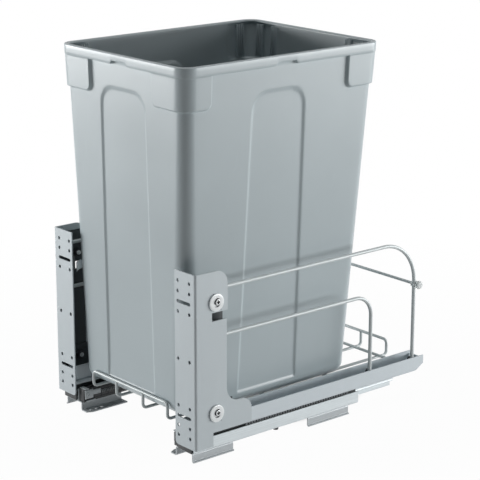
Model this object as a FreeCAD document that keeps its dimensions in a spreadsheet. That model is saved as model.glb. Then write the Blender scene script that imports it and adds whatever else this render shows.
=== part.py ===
import FreeCAD, Part

# Bottom-mount pull-out waste unit for a kitchen base cabinet: one tapered bin in a wire cradle,
# carried by two side channels on ball-bearing slides, with brackets for the cabinet door.
# Lengths are millimetres. While it is built, x = 0 is the unit's middle, y = 0 the door plane
# (y grows towards the cabinet's back) and z = 0 the cabinet floor. Every sub-part's placement then
# moves it forward by half the unit's depth, so that the origin is the middle of the footprint.
# The right side is modelled, and the left side is its mirror image.

import os
import re

import Sketcher
from FreeCAD import Rotation, Vector

X_AXIS = Vector(1, 0, 0)
Y_AXIS = Vector(0, 1, 0)
Z_AXIS = Vector(0, 0, 1)

SIZES = {
    # overall
    "unit_depth": 404.0,
    "unit_half_width": 150.0,
    "travel": 340.0,
    # clearances
    "adjust_gap": 0.3,
    "ball_play": 0.3,
    "slide_gap": 0.4,
    "screw_play": 0.1,
    "pocket_play": 0.1,
    "weld_sink": 0.1,
    # door brackets
    "bracket_sheet": 1.7,
    "bracket_bottom": 20.3,
    "bracket_top": 248.7,
    "bracket_flange": 40.6,
    "bracket_side": 51.6,
    "bracket_side_low": 50.2,
    "bracket_bend": 3.0,
    "bracket_corner": 18.0,
    "bracket_low_corner": 5.0,
    "bracket_toe_depth": 28.2,
    "arm_end": 91.0,
    "arm_bottom": 39.0,
    "arm_top": 73.5,
    "arm_front_radius": 20.0,
    "arm_rear_radius": 16.0,
    "relief_front": 26.5,
    "relief_bottom": 185.0,
    "relief_top": 196.0,
    "hole_mid_height": 134.9,
    "hole_pitch": 13.15,
    "slot_offset": 74.75,
    "hole_column": 22.6,
    "hole_edge": 11.6,
    "door_hole_radius": 2.4,
    "door_slot_radius": 2.2,
    "mark_width": 1.2,
    "mark_length": 5.0,
    "mark_shift": 7.2,
    "mark_drop": 12.0,
    # adjusters that clamp a bracket to its post
    "adjuster_depth": 32.9,
    "adjuster_high": 209.0,
    "adjuster_low": 64.0,
    "height_adjust": 3.0,
    "screw_radius": 3.0,
    "washer_radius": 11.2,
    "washer_thick": 1.9,
    "washer_dish_radius": 6.2,
    "washer_dish_depth": 1.0,
    "boss_radius": 4.0,
    "nut_radius": 5.8,
    "nut_thick": 5.0,
    "screw_tail": 1.5,
    "cross_recess": 3.4,
    "cross_recess_width": 1.1,
    "cross_recess_depth": 1.5,
    # carriage: side channels and posts
    "carriage_sheet": 1.6,
    "carriage_fold": 1.4,
    "channel_width": 27.0,
    "channel_bottom": 36.5,
    "channel_top": 57.3,
    "channel_front": 4.5,
    "channel_front_cut": 80.0,
    "channel_cut_top": 40.1,
    "channel_tail_rise": 9.5,
    "channel_tail_run": 16.0,
    "channel_end_drop": 3.5,
    "post_top": 240.0,
    "post_depth": 45.4,
    "post_flange": 36.0,
    "post_tab": 4.4,
    "post_tab_bottom": 198.0,
    "post_tab_top": 216.0,
    "post_access_radius": 3.6,
    "post_window_half": 5.2,
    "lap_bottom": 40.6,
    "lap_top": 78.0,
    "lap_front": 8.0,
    "lap_rear": 62.0,
    "rivet_radius": 2.0,
    "rivet_head_radius": 3.6,
    "rivet_head": 1.2,
    "lap_rivet_height": 49.0,
    "lap_rivet_inset": 9.0,
    # wire rails beside the bin
    "rail_radius": 2.5,
    "rail_front": 8.0,
    "upper_rail_height": 224.5,
    "upper_rail_setback": 18.4,
    "upper_rail_bend": 58.0,
    "lower_rail_height": 162.8,
    "lower_rail_setback": 99.0,
    "lower_rail_bend": 28.0,
    "cross_wire_height": 161.0,
    "cross_wire_reach": 6.0,
    "clip_radius": 5.6,
    "clip_round": 1.5,
    "clip_reach_in": 5.8,
    "clip_reach_out": 7.8,
    "leg_screw_height": 54.6,
    "leg_screw_radius": 3.0,
    "leg_screw_head": 3.2,
    # wire cradle under the bin
    "wire_radius": 2.0,
    "wire_bend": 6.0,
    "wire_sink": 0.2,
    "cradle_half_width": 80.0,
    "cradle_front": 10.0,
    "cradle_setback": 4.0,
    "cradle_bottom": 41.0,
    "cradle_top": 62.5,
    "middle_wire": 28.5,
    "cross_wire_first": 44.0,
    "cross_wire_pitch": 112.0,
    # slides
    "slide_sheet": 1.5,
    "slide_fold": 1.0,
    "slide_inset": 10.0,
    "slide_width": 31.0,
    "slide_bottom": 12.5,
    "slide_front": 4.5,
    "cabinet_slide_length": 284.0,
    "cabinet_slide_top": 29.2,
    "middle_slide_top": 32.9,
    "drawer_slide_length": 354.0,
    "drawer_flange_inset": 3.0,
    "ball_gap": 3.8,
    "groove_depth": 0.5,
    "outer_ball_height": 24.0,
    "inner_ball_height": 26.5,
    "cage_strip": 1.4,
    "cage_web": 0.7,
    "outer_cage_rise": 4.6,
    "cage_margin": 0.5,
    "outer_cage_length": 108.0,
    "inner_cage_length": 180.0,
    "ball_pitch": 9.0,
    "cage_rib_thick": 1.0,
    "cage_rib_inset": 0.6,
    "cage_rib_notch": 2.2,
    "cage_rib_pitch": 4.5,
    "cage_tooth_drop": 3.2,
    "eye_length": 6.0,
    "eye_height": 11.0,
    "eye_hole_radius": 1.8,
    # feet
    "foot_sheet": 1.6,
    "foot_fold": 0.8,
    "foot_reach": 20.5,
    "foot_wall_reach": 6.5,
    "foot_outer_inset": 3.2,
    "foot_lip": 2.0,
    "foot_corner_width": 4.0,
    "foot_corner_length": 8.0,
    "front_foot_inset": 0.9,
    "front_foot_length": 66.0,
    "rear_foot_inset": 15.5,
    "rear_foot_length": 73.0,
    "foot_slot_inset": 6.8,
    "foot_slot_first": 8.2,
    "foot_slot_pitch": 9.6,
    "foot_slot_length": 6.6,
    "foot_slot_radius": 2.1,
    "foot_rivet_inset": 16.0,
    "foot_rivet_radius": 2.5,
    "foot_rivet_head_radius": 4.0,
    "foot_rivet_head": 1.4,
    "bumper_radius": 3.5,
    "bumper_height": 2.6,
    "bumper_inset": 5.0,
    "bumper_place": 145.0,
    # soft-close units
    "damper_width": 10.4,
    "damper_front": 6.0,
    "damper_length": 108.0,
    "damper_top": 31.0,
    "damper_wall": 1.5,
    "damper_slot_front": 14.0,
    "damper_slot_length": 54.0,
    "damper_slot_width": 4.4,
    "cylinder_radius": 3.5,
    "cylinder_length": 34.0,
    "cylinder_height": 20.75,
    "piston_radius": 1.5,
    "catch_length": 9.0,
    "catch_width": 3.6,
    "catch_place": 60.0,
    "catch_top": 41.0,
    "catch_gap": 0.3,
    "catch_pin_radius": 1.9,
    "catch_pin_height": 38.7,
    # bin
    "bin_bottom": 47.0,
    "bin_rim_bottom": 486.0,
    "bin_top": 498.6,
    "bin_wall": 2.4,
    "bin_floor": 3.0,
    "bin_side_gap": 16.0,
    "bin_side_draft": 15.5,
    "bin_front_top": 5.4,
    "bin_front_bottom": 13.0,
    "bin_rear_top": 325.0,
    "bin_rear_bottom": 298.0,
    "bin_corner_top": 16.0,
    "bin_corner_bottom": 22.0,
    "bin_foot_round": 16.0,
    "bin_foot_lip": 4.0,
    "rim_overhang": 5.0,
    "pad_proud": 3.6,
    "pad_drop": 42.0,
    "pad_side_reach": 61.0,
    "pad_front_reach": 42.0,
    "pad_rear_reach": 54.0,
    "pad_corner": 8.0,
    "panel_sink": 1.0,
    "panel_bottom": 66.0,
    "panel_top": 458.0,
    "panel_corner": 20.0,
    "front_panel_half": 46.0,
    "side_panel_middle": 155.0,
    "side_panel_half": 45.0,
}

# ---------------------------------------------------------------------------------------------
# Document, spreadsheet and small helpers
# ---------------------------------------------------------------------------------------------

SHEET_NAMES = {alias: f"sizes.{alias}" for alias in SIZES}

doc = FreeCAD.newDocument("pull_out_waste_unit")
sheet = doc.addObject("Spreadsheet::Sheet", "sizes")
for row, (alias, value) in enumerate(SIZES.items(), start=1):
    sheet.set(f"A{row}", alias.replace("_", " "))
    sheet.set(f"B{row}", str(value))
    sheet.setAlias(f"B{row}", alias)
doc.recompute()

probe = doc.addObject("App::FeaturePython", "probe")
probe.addProperty("App::PropertyFloat", "Result")

subparts = []


def bound(text):
    """An expression that reads the names of sizes from the spreadsheet."""
    return re.sub(r"[a-z][a-z_]+", lambda found: SHEET_NAMES.get(found[0], found[0]), text)


def number(text):
    """The present value of an expression, for the first position of sketch geometry."""
    probe.setExpression("Result", bound(text))
    probe.recompute()
    return probe.Result


def bind(obj, **expressions):
    for prop, text in expressions.items():
        obj.setExpression(prop.replace("__", "."), bound(text))
    return obj


def place(obj, x="0", y="0", z="0"):
    return bind(obj, Placement__Base__x=x, Placement__Base__y=y, Placement__Base__z=z)


def subpart(obj, label, y="0"):
    """Give a finished piece its name, and move it from the door plane to the unit's origin."""
    obj.Label = label
    if not obj.isDerivedFrom("Part::Mirroring"):
        bind(obj, Placement__Base__y=f"{y} - unit_depth / 2")
    subparts.append(obj)
    return obj


def both_sides(obj, stem, y="0"):
    """The right-hand piece and its mirror image on the left."""
    right = subpart(obj, f"{stem}_right", y)
    left = doc.addObject("Part::Mirroring", f"{stem}_mirror")
    left.Source = right
    left.Normal = X_AXIS
    subpart(left, f"{stem}_left")
    return right, left


def box(name, x, y, z):
    """A block between two limits on each axis."""
    block = doc.addObject("Part::Box", name)
    for prop, (low, high) in (("Length", x), ("Width", y), ("Height", z)):
        bind(block, **{prop: f"({high}) - ({low})"})
    return place(block, x[0], y[0], z[0])


def rod(name, start, direction, length, radius):
    """A round bar from a start point along an axis direction."""
    bar = doc.addObject("Part::Cylinder", name)
    bar.Placement.Rotation = Rotation(Z_AXIS, direction)
    bind(bar, Height=length, Radius=radius)
    return place(bar, *start)


def fuse(name, shapes):
    union = doc.addObject("Part::MultiFuse", name)
    union.Shapes = shapes
    union.Refine = True
    return union


def cut(name, base, tools):
    remainder = doc.addObject("Part::Cut", name)
    remainder.Base = base
    remainder.Tool = tools[0] if len(tools) == 1 else fuse(f"{name}_tools", tools)
    remainder.Refine = True
    return remainder


def group(name, solids):
    compound = doc.addObject("Part::Compound", name)
    compound.Links = solids
    return compound


def origin_plane(body, role):
    return next(item for item in body.Origin.OriginFeatures if item.Role == role)


def new_sketch(body, name, role, offset="0"):
    sketch = body.newObject("Sketcher::SketchObject", name)
    sketch.AttachmentSupport = (origin_plane(body, role), [""])
    sketch.MapMode = "FlatFace"
    sketch.setExpression("AttachmentOffset.Base.z", bound(offset))
    return sketch


def polygon(sketch, points):
    """A closed outline, with each corner held at its two bound distances from the origin."""
    corners = [Vector(number(u), number(v), 0) for u, v in points]
    for start, end in zip(corners, corners[1:] + corners[:1]):
        sketch.addGeometry(Part.LineSegment(start, end))
    for side in range(len(points)):
        after = (side + 1) % len(points)
        sketch.addConstraint(Sketcher.Constraint("Coincident", side, 2, after, 1))
    for side, (u, v) in enumerate(points):
        for kind, text in (("DistanceX", u), ("DistanceY", v)):
            index = sketch.addConstraint(Sketcher.Constraint(kind, -1, 1, side, 1, number(text)))
            sketch.setExpression(f"Constraints[{index}]", bound(text))


def rounded_rectangle(sketch, low_u, high_u, low_v, high_v, radius):
    """Four sides joined by four tangent arcs of one radius."""
    left, right, low, high = (number(text) for text in (low_u, high_u, low_v, high_v))
    r = number(radius)
    quarter = 1.5707963267948966
    line = Part.LineSegment
    sides = (
        line(Vector(left + r, low, 0), Vector(right - r, low, 0)),
        line(Vector(right, low + r, 0), Vector(right, high - r, 0)),
        line(Vector(right - r, high, 0), Vector(left + r, high, 0)),
        line(Vector(left, high - r, 0), Vector(left, low + r, 0)),
    )
    centres = ((right - r, low + r), (right - r, high - r), (left + r, high - r), (left + r, low + r))
    for side, (u, v) in zip(range(4), centres):
        sketch.addGeometry(sides[side])
        circle = Part.Circle(Vector(u, v, 0), Z_AXIS, r)
        sketch.addGeometry(Part.ArcOfCircle(circle, (side - 1) * quarter, side * quarter))
    for side in range(4):
        straight, arc, after = 2 * side, 2 * side + 1, (2 * side + 2) % 8
        sketch.addConstraint(Sketcher.Constraint("Tangent", straight, 2, arc, 1))
        sketch.addConstraint(Sketcher.Constraint("Tangent", arc, 2, after, 1))
    for side, kind in ((0, "Horizontal"), (2, "Vertical"), (4, "Horizontal"), (6, "Vertical")):
        sketch.addConstraint(Sketcher.Constraint(kind, side))
    for arc in (3, 5, 7):
        sketch.addConstraint(Sketcher.Constraint("Equal", 1, arc))
    index = sketch.addConstraint(Sketcher.Constraint("Radius", 1, r))
    sketch.setExpression(f"Constraints[{index}]", bound(radius))
    limits = ((0, low_v), (2, high_u), (4, high_v), (6, low_u))
    for side, text in limits:
        kind = "DistanceX" if side in (2, 6) else "DistanceY"
        index = sketch.addConstraint(Sketcher.Constraint(kind, -1, 1, side, 1, number(text)))
        sketch.setExpression(f"Constraints[{index}]", bound(text))


def section(name, points, length, start="0", outer=(), inner=(), sheet_name="", fold=""):
    """A folded sheet of constant (x, z) section, padded towards +y from its start.

    The corners of the outline that are listed as outer or inner get the fold's radii.
    """
    body = doc.addObject("PartDesign::Body", name)
    sketch = new_sketch(body, f"{name}_outline", "XZ_Plane", f"-({start})")
    polygon(sketch, points)
    feature = body.newObject("PartDesign::Pad", f"{name}_pad")
    feature.Profile = sketch
    feature.Reversed = True
    bind(feature, Length=length)
    for word, corners, radius in (("outer", outer, f"{fold} + {sheet_name}"), ("inner", inner, fold)):
        if corners:
            spots = [points[corner] for corner in corners]
            feature = fold_fillet(body, f"{name}_{word}_folds", feature, spots, radius)
    return body


def fold_fillet(body, name, base, spots, radius):
    """Round the long edges that run through the given (x, z) spots."""
    doc.recompute()
    picked = []
    for index, edge in enumerate(base.Shape.Edges, start=1):
        first, last = edge.Vertexes[0].Point, edge.Vertexes[-1].Point
        on_spot = any(near(first.x, x) and near(first.z, z) for x, z in spots)
        if on_spot and along(first, last, Y_AXIS):
            picked.append(f"Edge{index}")
    fillet = body.newObject("PartDesign::Fillet", name)
    fillet.Base = (base, picked)
    return bind(fillet, Radius=radius)


def plate(name, points, x_low, thickness):
    """A flat plate of constant (y, z) outline, padded towards +x."""
    body = doc.addObject("PartDesign::Body", name)
    sketch = new_sketch(body, f"{name}_outline", "YZ_Plane", x_low)
    polygon(sketch, points)
    pad = body.newObject("PartDesign::Pad", f"{name}_pad")
    pad.Profile = sketch
    bind(pad, Length=thickness)
    return body


def rounded_edges(name, base, radius, is_wanted):
    """Round the edges of a piece that a test on their two end points picks out."""
    doc.recompute()
    rounding = doc.addObject("Part::Fillet", name)
    rounding.Base = base
    value = number(radius)
    picked = []
    for index, edge in enumerate(base.Shape.Edges, start=1):
        if is_wanted(edge.Vertexes[0].Point, edge.Vertexes[-1].Point):
            picked.append((index, value, value))
    if not picked:
        raise RuntimeError(f"{name}: no edge to round")
    rounding.Edges = picked
    return rounding


def near(value, text):
    return abs(value - number(text)) < 0.01


def along(first, second, axis):
    """Whether an edge between two points runs along an axis."""
    span = second - first
    return span.Length > 0.001 and span.cross(axis).Length < 0.001


def at_level(height):
    """A test for edges that lie at one height."""
    return lambda first, last: near(first.z, height) and near(last.z, height)


def is_upright(x, y):
    """A test for vertical edges at one (x, y) spot."""
    return lambda first, last: along(first, last, Z_AXIS) and near(first.x, x) and near(first.y, y)


def bent_wire(name, points, radius, bends, closed=False):
    """Round wire through points joined by axis-parallel runs, with a quarter torus at each turn."""
    spots = [Vector(*(number(text) for text in point)) for point in points]
    count = len(points)
    runs = count if closed else count - 1
    heading = [(spots[(i + 1) % count] - spots[i]).normalize() for i in range(runs)]
    turns = range(count) if closed else range(1, count - 1)
    pieces = []
    for i in range(runs):
        here, there = points[i], points[(i + 1) % count]
        axis = max(range(3), key=lambda k: abs(heading[i][k]))
        sign = "+" if heading[i][axis] > 0 else "-"
        before = bends if i in turns else "0"
        after = bends if (i + 1) % count in turns else "0"
        start = list(here)
        start[axis] = f"({here[axis]}) {sign} ({before})"
        far, close = (there[axis], here[axis]) if sign == "+" else (here[axis], there[axis])
        length = f"({far}) - ({close}) - ({before}) - ({after})"
        pieces.append(rod(f"{name}_run", start, heading[i], length, radius))
    for i in turns:
        arriving, leaving = heading[i - 1], heading[i]
        centre = []
        for k in range(3):
            inward = round(leaving[k] - arriving[k])
            centre.append(f"({points[i][k]}) + ({inward}) * ({bends})")
        turn = doc.addObject("Part::Torus", f"{name}_bend")
        turn.Angle3 = 90
        turn.Placement.Rotation = Rotation(leaving * -1, arriving, arriving.cross(leaving), "ZXY")
        bind(turn, Radius1=bends, Radius2=radius)
        pieces.append(place(turn, *centre))
    return fuse(name, pieces)


# ---------------------------------------------------------------------------------------------
# Places that several pieces share
# ---------------------------------------------------------------------------------------------

BRACKET_INSIDE = "unit_half_width - bracket_sheet"
CHANNEL_OUTSIDE = f"{BRACKET_INSIDE} - adjust_gap"
CHANNEL_WALL = f"{CHANNEL_OUTSIDE} - carriage_sheet"
CHANNEL_INSIDE = f"{CHANNEL_OUTSIDE} - channel_width"
CHANNEL_FLOOR = "channel_bottom + carriage_sheet"
POST_FRONT = "bracket_sheet + adjust_gap"
LAP_INSIDE = f"{CHANNEL_WALL} - carriage_sheet"
LAP_RIVETS = ("lap_front + lap_rivet_inset", "lap_rear - lap_rivet_inset")
RAIL_LINE = f"{CHANNEL_WALL} - rail_radius + weld_sink"
RAIL_LEGS = {stem: f"unit_depth - {stem}_rail_setback" for stem in ("upper", "lower")}

SLIDE_OUTER = "unit_half_width - slide_inset"
SLIDE_INNER = f"{SLIDE_OUTER} - slide_width"
SLIDE_MIDDLE = f"({SLIDE_OUTER} - slide_width / 2)"
CABINET_FLOOR = "slide_bottom + slide_sheet"
MIDDLE_INNER = f"{SLIDE_INNER} + slide_sheet + ball_gap"
MIDDLE_OUTER = f"{SLIDE_OUTER} - slide_sheet - ball_gap"
MIDDLE_BOTTOM = f"{CABINET_FLOOR} + 2 * slide_gap + cage_web"
MIDDLE_FLOOR = f"{MIDDLE_BOTTOM} + slide_sheet"
DRAWER_INNER = f"{MIDDLE_INNER} + slide_sheet + ball_gap"
DRAWER_OUTER = f"{MIDDLE_OUTER} - slide_sheet - ball_gap"
DRAWER_BOTTOM = f"{MIDDLE_FLOOR} + 2 * slide_gap + cage_web"
DRAWER_TOP = "channel_bottom"
OUTER_BALLS = (f"{SLIDE_INNER} + slide_sheet + ball_gap / 2", f"{SLIDE_OUTER} - slide_sheet - ball_gap / 2")
INNER_BALLS = (f"{MIDDLE_INNER} + slide_sheet + ball_gap / 2", f"{MIDDLE_OUTER} - slide_sheet - ball_gap / 2")
GROOVE_RADIUS = "ball_gap / 2 + groove_depth"
BALL_RADIUS = f"{GROOVE_RADIUS} - ball_play"
CAGE_START = "slide_front + travel / 4 + cage_margin"
FEET = {
    "front": ("slide_front + front_foot_inset", "front_foot_length"),
    "rear": ("slide_front + cabinet_slide_length - rear_foot_inset - rear_foot_length", "rear_foot_length"),
}

ADJUSTER_HEIGHTS = ("adjuster_high", "adjuster_low")
WASHER_FACE = "unit_half_width + adjust_gap"
CROSS_WIRE_LINE = f"{RAIL_LEGS['upper']} + rail_radius + wire_radius - weld_sink"
CROSS_WIRE_END = f"{RAIL_LINE} + cross_wire_reach"
CRADLE_CROSS_HEIGHT = "cradle_bottom + 2 * wire_radius - wire_sink"

BIN_HALF_WIDTH = {"top": f"({RAIL_LINE} - rail_radius - bin_side_gap)"}
BIN_HALF_WIDTH["bottom"] = f"({BIN_HALF_WIDTH['top']} - bin_side_draft)"
BIN_WALL_START = "bin_bottom + bin_foot_round + bin_foot_lip"


def foot_rivet_places(foot_name):
    start, length = FEET[foot_name]
    return f"{start} + foot_rivet_inset", f"{start} + {length} - foot_rivet_inset"


def clear_hole(name, x, y, z, direction, radius, reach="unit_half_width"):
    """A long round cutter centred on a point."""
    start = [x, y, z]
    axis = max(range(3), key=lambda k: abs(direction[k]))
    start[axis] = f"({start[axis]}) - ({reach})"
    return rod(name, start, direction, f"2 * ({reach})", radius)


# ---------------------------------------------------------------------------------------------
# Feet: top-hat brackets that screw to the cabinet floor and carry the slides
# ---------------------------------------------------------------------------------------------


def foot(foot_name):
    start, length = FEET[foot_name]
    stem = f"{foot_name}_foot"
    inner = f"{SLIDE_INNER} - foot_reach"
    wall = f"{SLIDE_INNER} - foot_wall_reach"
    outer = f"{SLIDE_OUTER} - foot_outer_inset"
    outline = (
        (inner, "0"),
        (f"{wall} + foot_sheet", "0"),
        (f"{wall} + foot_sheet", "slide_bottom - foot_sheet"),
        (f"{outer} - foot_sheet", "slide_bottom - foot_sheet"),
        (f"{outer} - foot_sheet", "0"),
        (f"{outer} + foot_lip", "0"),
        (f"{outer} + foot_lip", "foot_sheet"),
        (outer, "foot_sheet"),
        (outer, "slide_bottom"),
        (wall, "slide_bottom"),
        (wall, "foot_sheet"),
        (inner, "foot_sheet"),
    )
    folds = {"outer": (1, 4, 8, 9), "inner": (2, 3, 7, 10), "sheet_name": "foot_sheet", "fold": "foot_fold"}
    blank = section(f"{stem}_sheet", outline, length, **folds)
    cutters = [foot_corner(f"{stem}_corner", inner)]
    slot_line = f"{inner} + foot_slot_inset"
    for count in range(3):
        middle = f"foot_slot_first + {count} * foot_slot_pitch"
        half = "(foot_slot_length / 2 - foot_slot_radius)"
        span = (f"{middle} - {half}", f"{middle} + {half}")
        across = (f"{slot_line} - foot_slot_radius", f"{slot_line} + foot_slot_radius")
        cutters.append(box(f"{stem}_slot", across, span, ("-foot_sheet", "2 * foot_sheet")))
        for end in span:
            centre = (slot_line, end, "-foot_sheet")
            cutters.append(rod(f"{stem}_slot_end", centre, Z_AXIS, "3 * foot_sheet", "foot_slot_radius"))
    for place_y in ("foot_rivet_inset", f"{length} - foot_rivet_inset"):
        centre = (SLIDE_MIDDLE, place_y, "slide_bottom - 2 * foot_sheet")
        cutters.append(rod(f"{stem}_rivet_hole", centre, Z_AXIS, "3 * foot_sheet", "foot_rivet_radius"))
    return both_sides(cut(f"{stem}_body", blank, cutters), stem, start)


def foot_corner(name, inner):
    """A cutter for the slanted front corner of a foot's inner flange."""
    wedge = doc.addObject("Part::Wedge", name)
    bind(wedge, Ymin="-foot_sheet", Ymax="foot_corner_length")
    low = f"{inner} - foot_sheet"
    wide = "foot_corner_width * (1 + foot_sheet / foot_corner_length)"
    bind(wedge, Xmin=low, X2min=low, Xmax=f"{inner} + {wide}", X2max=inner)
    return bind(wedge, Zmin="-foot_sheet", Z2min="-foot_sheet", Zmax="2 * foot_sheet", Z2max="2 * foot_sheet")


def foot_rivets():
    """Four rivets a side: flush in the slide's floor, with the head under the foot's top plate."""
    under = "slide_bottom - foot_sheet"
    solids = []
    for side in (-1, 1):
        x = f"{side} * {SLIDE_MIDDLE}"
        for y in (*foot_rivet_places("front"), *foot_rivet_places("rear")):
            stem_length = "foot_sheet + slide_sheet"
            stem = rod("foot_rivet_stem", (x, y, under), Z_AXIS, stem_length, "foot_rivet_radius")
            head_start = (x, y, f"{under} - foot_rivet_head")
            head = rod("foot_rivet_head", head_start, Z_AXIS, "foot_rivet_head", "foot_rivet_head_radius")
            solids.append(fuse("foot_rivet", [stem, head]))
    return subpart(group("foot_rivet_set", solids), "foot_rivets")


def bumpers():
    solids = []
    for side in (-1, 1):
        start = (f"{side} * ({SLIDE_OUTER} - bumper_inset)", "bumper_place", "slide_bottom - bumper_height")
        solids.append(rod("bumper", start, Z_AXIS, "bumper_height", "bumper_radius"))
    return subpart(group("bumper_set", solids), "slide_bumpers")


# ---------------------------------------------------------------------------------------------
# Slides: three nested members a side, on two rows of balls between each pair
# ---------------------------------------------------------------------------------------------


def grooves(stem, lines, height):
    """Long round cutters for the ball tracks."""
    start = "slide_front - unit_depth"
    return [rod(f"{stem}_groove", (x, start, height), Y_AXIS, "3 * unit_depth", GROOVE_RADIUS) for x in lines]


def channel_points(low_x, high_x, low_z, high_z, sheet_name):
    """The outline of an upright U of one sheet thickness."""
    return (
        (low_x, low_z),
        (high_x, low_z),
        (high_x, high_z),
        (f"{high_x} - {sheet_name}", high_z),
        (f"{high_x} - {sheet_name}", f"{low_z} + {sheet_name}"),
        (f"{low_x} + {sheet_name}", f"{low_z} + {sheet_name}"),
        (f"{low_x} + {sheet_name}", high_z),
        (low_x, high_z),
    )


def folded_u(name, points, length, start, sheet_name, fold):
    return section(name, points, length, start, (0, 1), (4, 5), sheet_name, fold)


def slide_member(name, points):
    return folded_u(name, points, "cabinet_slide_length", "slide_front", "slide_sheet", "slide_fold")


def cabinet_slide():
    points = channel_points(SLIDE_INNER, SLIDE_OUTER, "slide_bottom", "cabinet_slide_top", "slide_sheet")
    blank = slide_member("cabinet_slide_sheet", points)
    cutters = grooves("cabinet_slide", OUTER_BALLS, "outer_ball_height")
    for y in (*foot_rivet_places("front"), *foot_rivet_places("rear")):
        centre = (SLIDE_MIDDLE, y, "slide_bottom - slide_sheet")
        cutters.append(rod("slide_rivet_hole", centre, Z_AXIS, "3 * slide_sheet", "foot_rivet_radius"))
    return both_sides(cut("cabinet_slide_body", blank, cutters), "cabinet_slide")


def middle_slide():
    points = channel_points(MIDDLE_INNER, MIDDLE_OUTER, MIDDLE_BOTTOM, "middle_slide_top", "slide_sheet")
    blank = slide_member("middle_slide_sheet", points)
    cutters = grooves("middle_slide_out", OUTER_BALLS, "outer_ball_height")
    cutters += grooves("middle_slide_in", INNER_BALLS, "inner_ball_height")
    return both_sides(cut("middle_slide_body", blank, cutters), "middle_slide")


def drawer_slide():
    flange = f"{DRAWER_TOP} - slide_sheet"
    flange_inner = f"{SLIDE_INNER} + drawer_flange_inset"
    flange_outer = f"{SLIDE_OUTER} - drawer_flange_inset"
    points = (
        (flange_inner, flange),
        (DRAWER_INNER, flange),
        (DRAWER_INNER, DRAWER_BOTTOM),
        (f"{DRAWER_INNER} + slide_sheet", DRAWER_BOTTOM),
        (f"{DRAWER_INNER} + slide_sheet", flange),
        (f"{DRAWER_OUTER} - slide_sheet", flange),
        (f"{DRAWER_OUTER} - slide_sheet", DRAWER_BOTTOM),
        (DRAWER_OUTER, DRAWER_BOTTOM),
        (DRAWER_OUTER, flange),
        (flange_outer, flange),
        (flange_outer, DRAWER_TOP),
        (flange_inner, DRAWER_TOP),
    )
    blank = section("drawer_slide_sheet", points, "drawer_slide_length", "slide_front",
                    (4, 5), (1, 8), "slide_sheet", "slide_fold / 2")
    end = "slide_front + drawer_slide_length"
    eye_x = (f"{DRAWER_OUTER} - slide_sheet", DRAWER_OUTER)
    eye_y = (f"{end} - slide_sheet", f"{end} + eye_length")
    eye = box("drawer_slide_eye", eye_x, eye_y, (f"{flange} - eye_height", flange))
    whole = fuse("drawer_slide_whole", [blank, eye])
    cutters = grooves("drawer_slide", INNER_BALLS, "inner_ball_height")
    eye_centre = (DRAWER_INNER, f"{end} + eye_length / 2", f"{flange} - eye_height / 3")
    cutters.append(rod("drawer_eye_hole", eye_centre, X_AXIS, "slide_width", "eye_hole_radius"))
    return both_sides(cut("drawer_slide_body", whole, cutters), "drawer_slide")


def ball_places(length):
    """The y places of the balls in a cage of a given length."""
    count = int(number(f"({length} - ball_pitch) / ball_pitch"))
    return [f"{CAGE_START} + {index} * ball_pitch" for index in range(1, count + 1)]


def balls(stem, lines, height, length):
    """Two rows of balls, evenly spaced along their cage."""
    solids = []
    for x in lines:
        for y in ball_places(length):
            ball = doc.addObject("Part::Sphere", f"{stem}_ball")
            bind(ball, Radius=BALL_RADIUS)
            solids.append(place(ball, x, y, height))
    return group(f"{stem}_row", solids)


def cage(stem, lines, height, bottom, top, length):
    """A U-shaped retainer: a web under the inner member and a strip up each side, holed for the balls."""
    low = (f"{lines[0]} - cage_strip / 2", f"{lines[0]} + cage_strip / 2")
    high = (f"{lines[1]} - cage_strip / 2", f"{lines[1]} + cage_strip / 2")
    points = (
        (low[0], bottom),
        (high[1], bottom),
        (high[1], top),
        (high[0], top),
        (high[0], f"{bottom} + cage_web"),
        (low[1], f"{bottom} + cage_web"),
        (low[1], top),
        (low[0], top),
    )
    blank = section(f"{stem}_strip", points, length, CAGE_START)
    pocket = f"{BALL_RADIUS} + pocket_play"
    holes = [
        rod(f"{stem}_pocket", (SLIDE_INNER, y, height), X_AXIS, "slide_width", pocket)
        for y in ball_places(length)
    ]
    return blank, holes


def outer_cages():
    bottom = f"{CABINET_FLOOR} + slide_gap"
    top = "outer_ball_height + outer_cage_rise"
    blank, holes = cage("outer_cage", OUTER_BALLS, "outer_ball_height", bottom, top, "outer_cage_length")
    both_sides(cut("outer_cage_body", blank, holes), "outer_ball_cage")
    both_sides(balls("outer", OUTER_BALLS, "outer_ball_height", "outer_cage_length"), "outer_balls")


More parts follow.
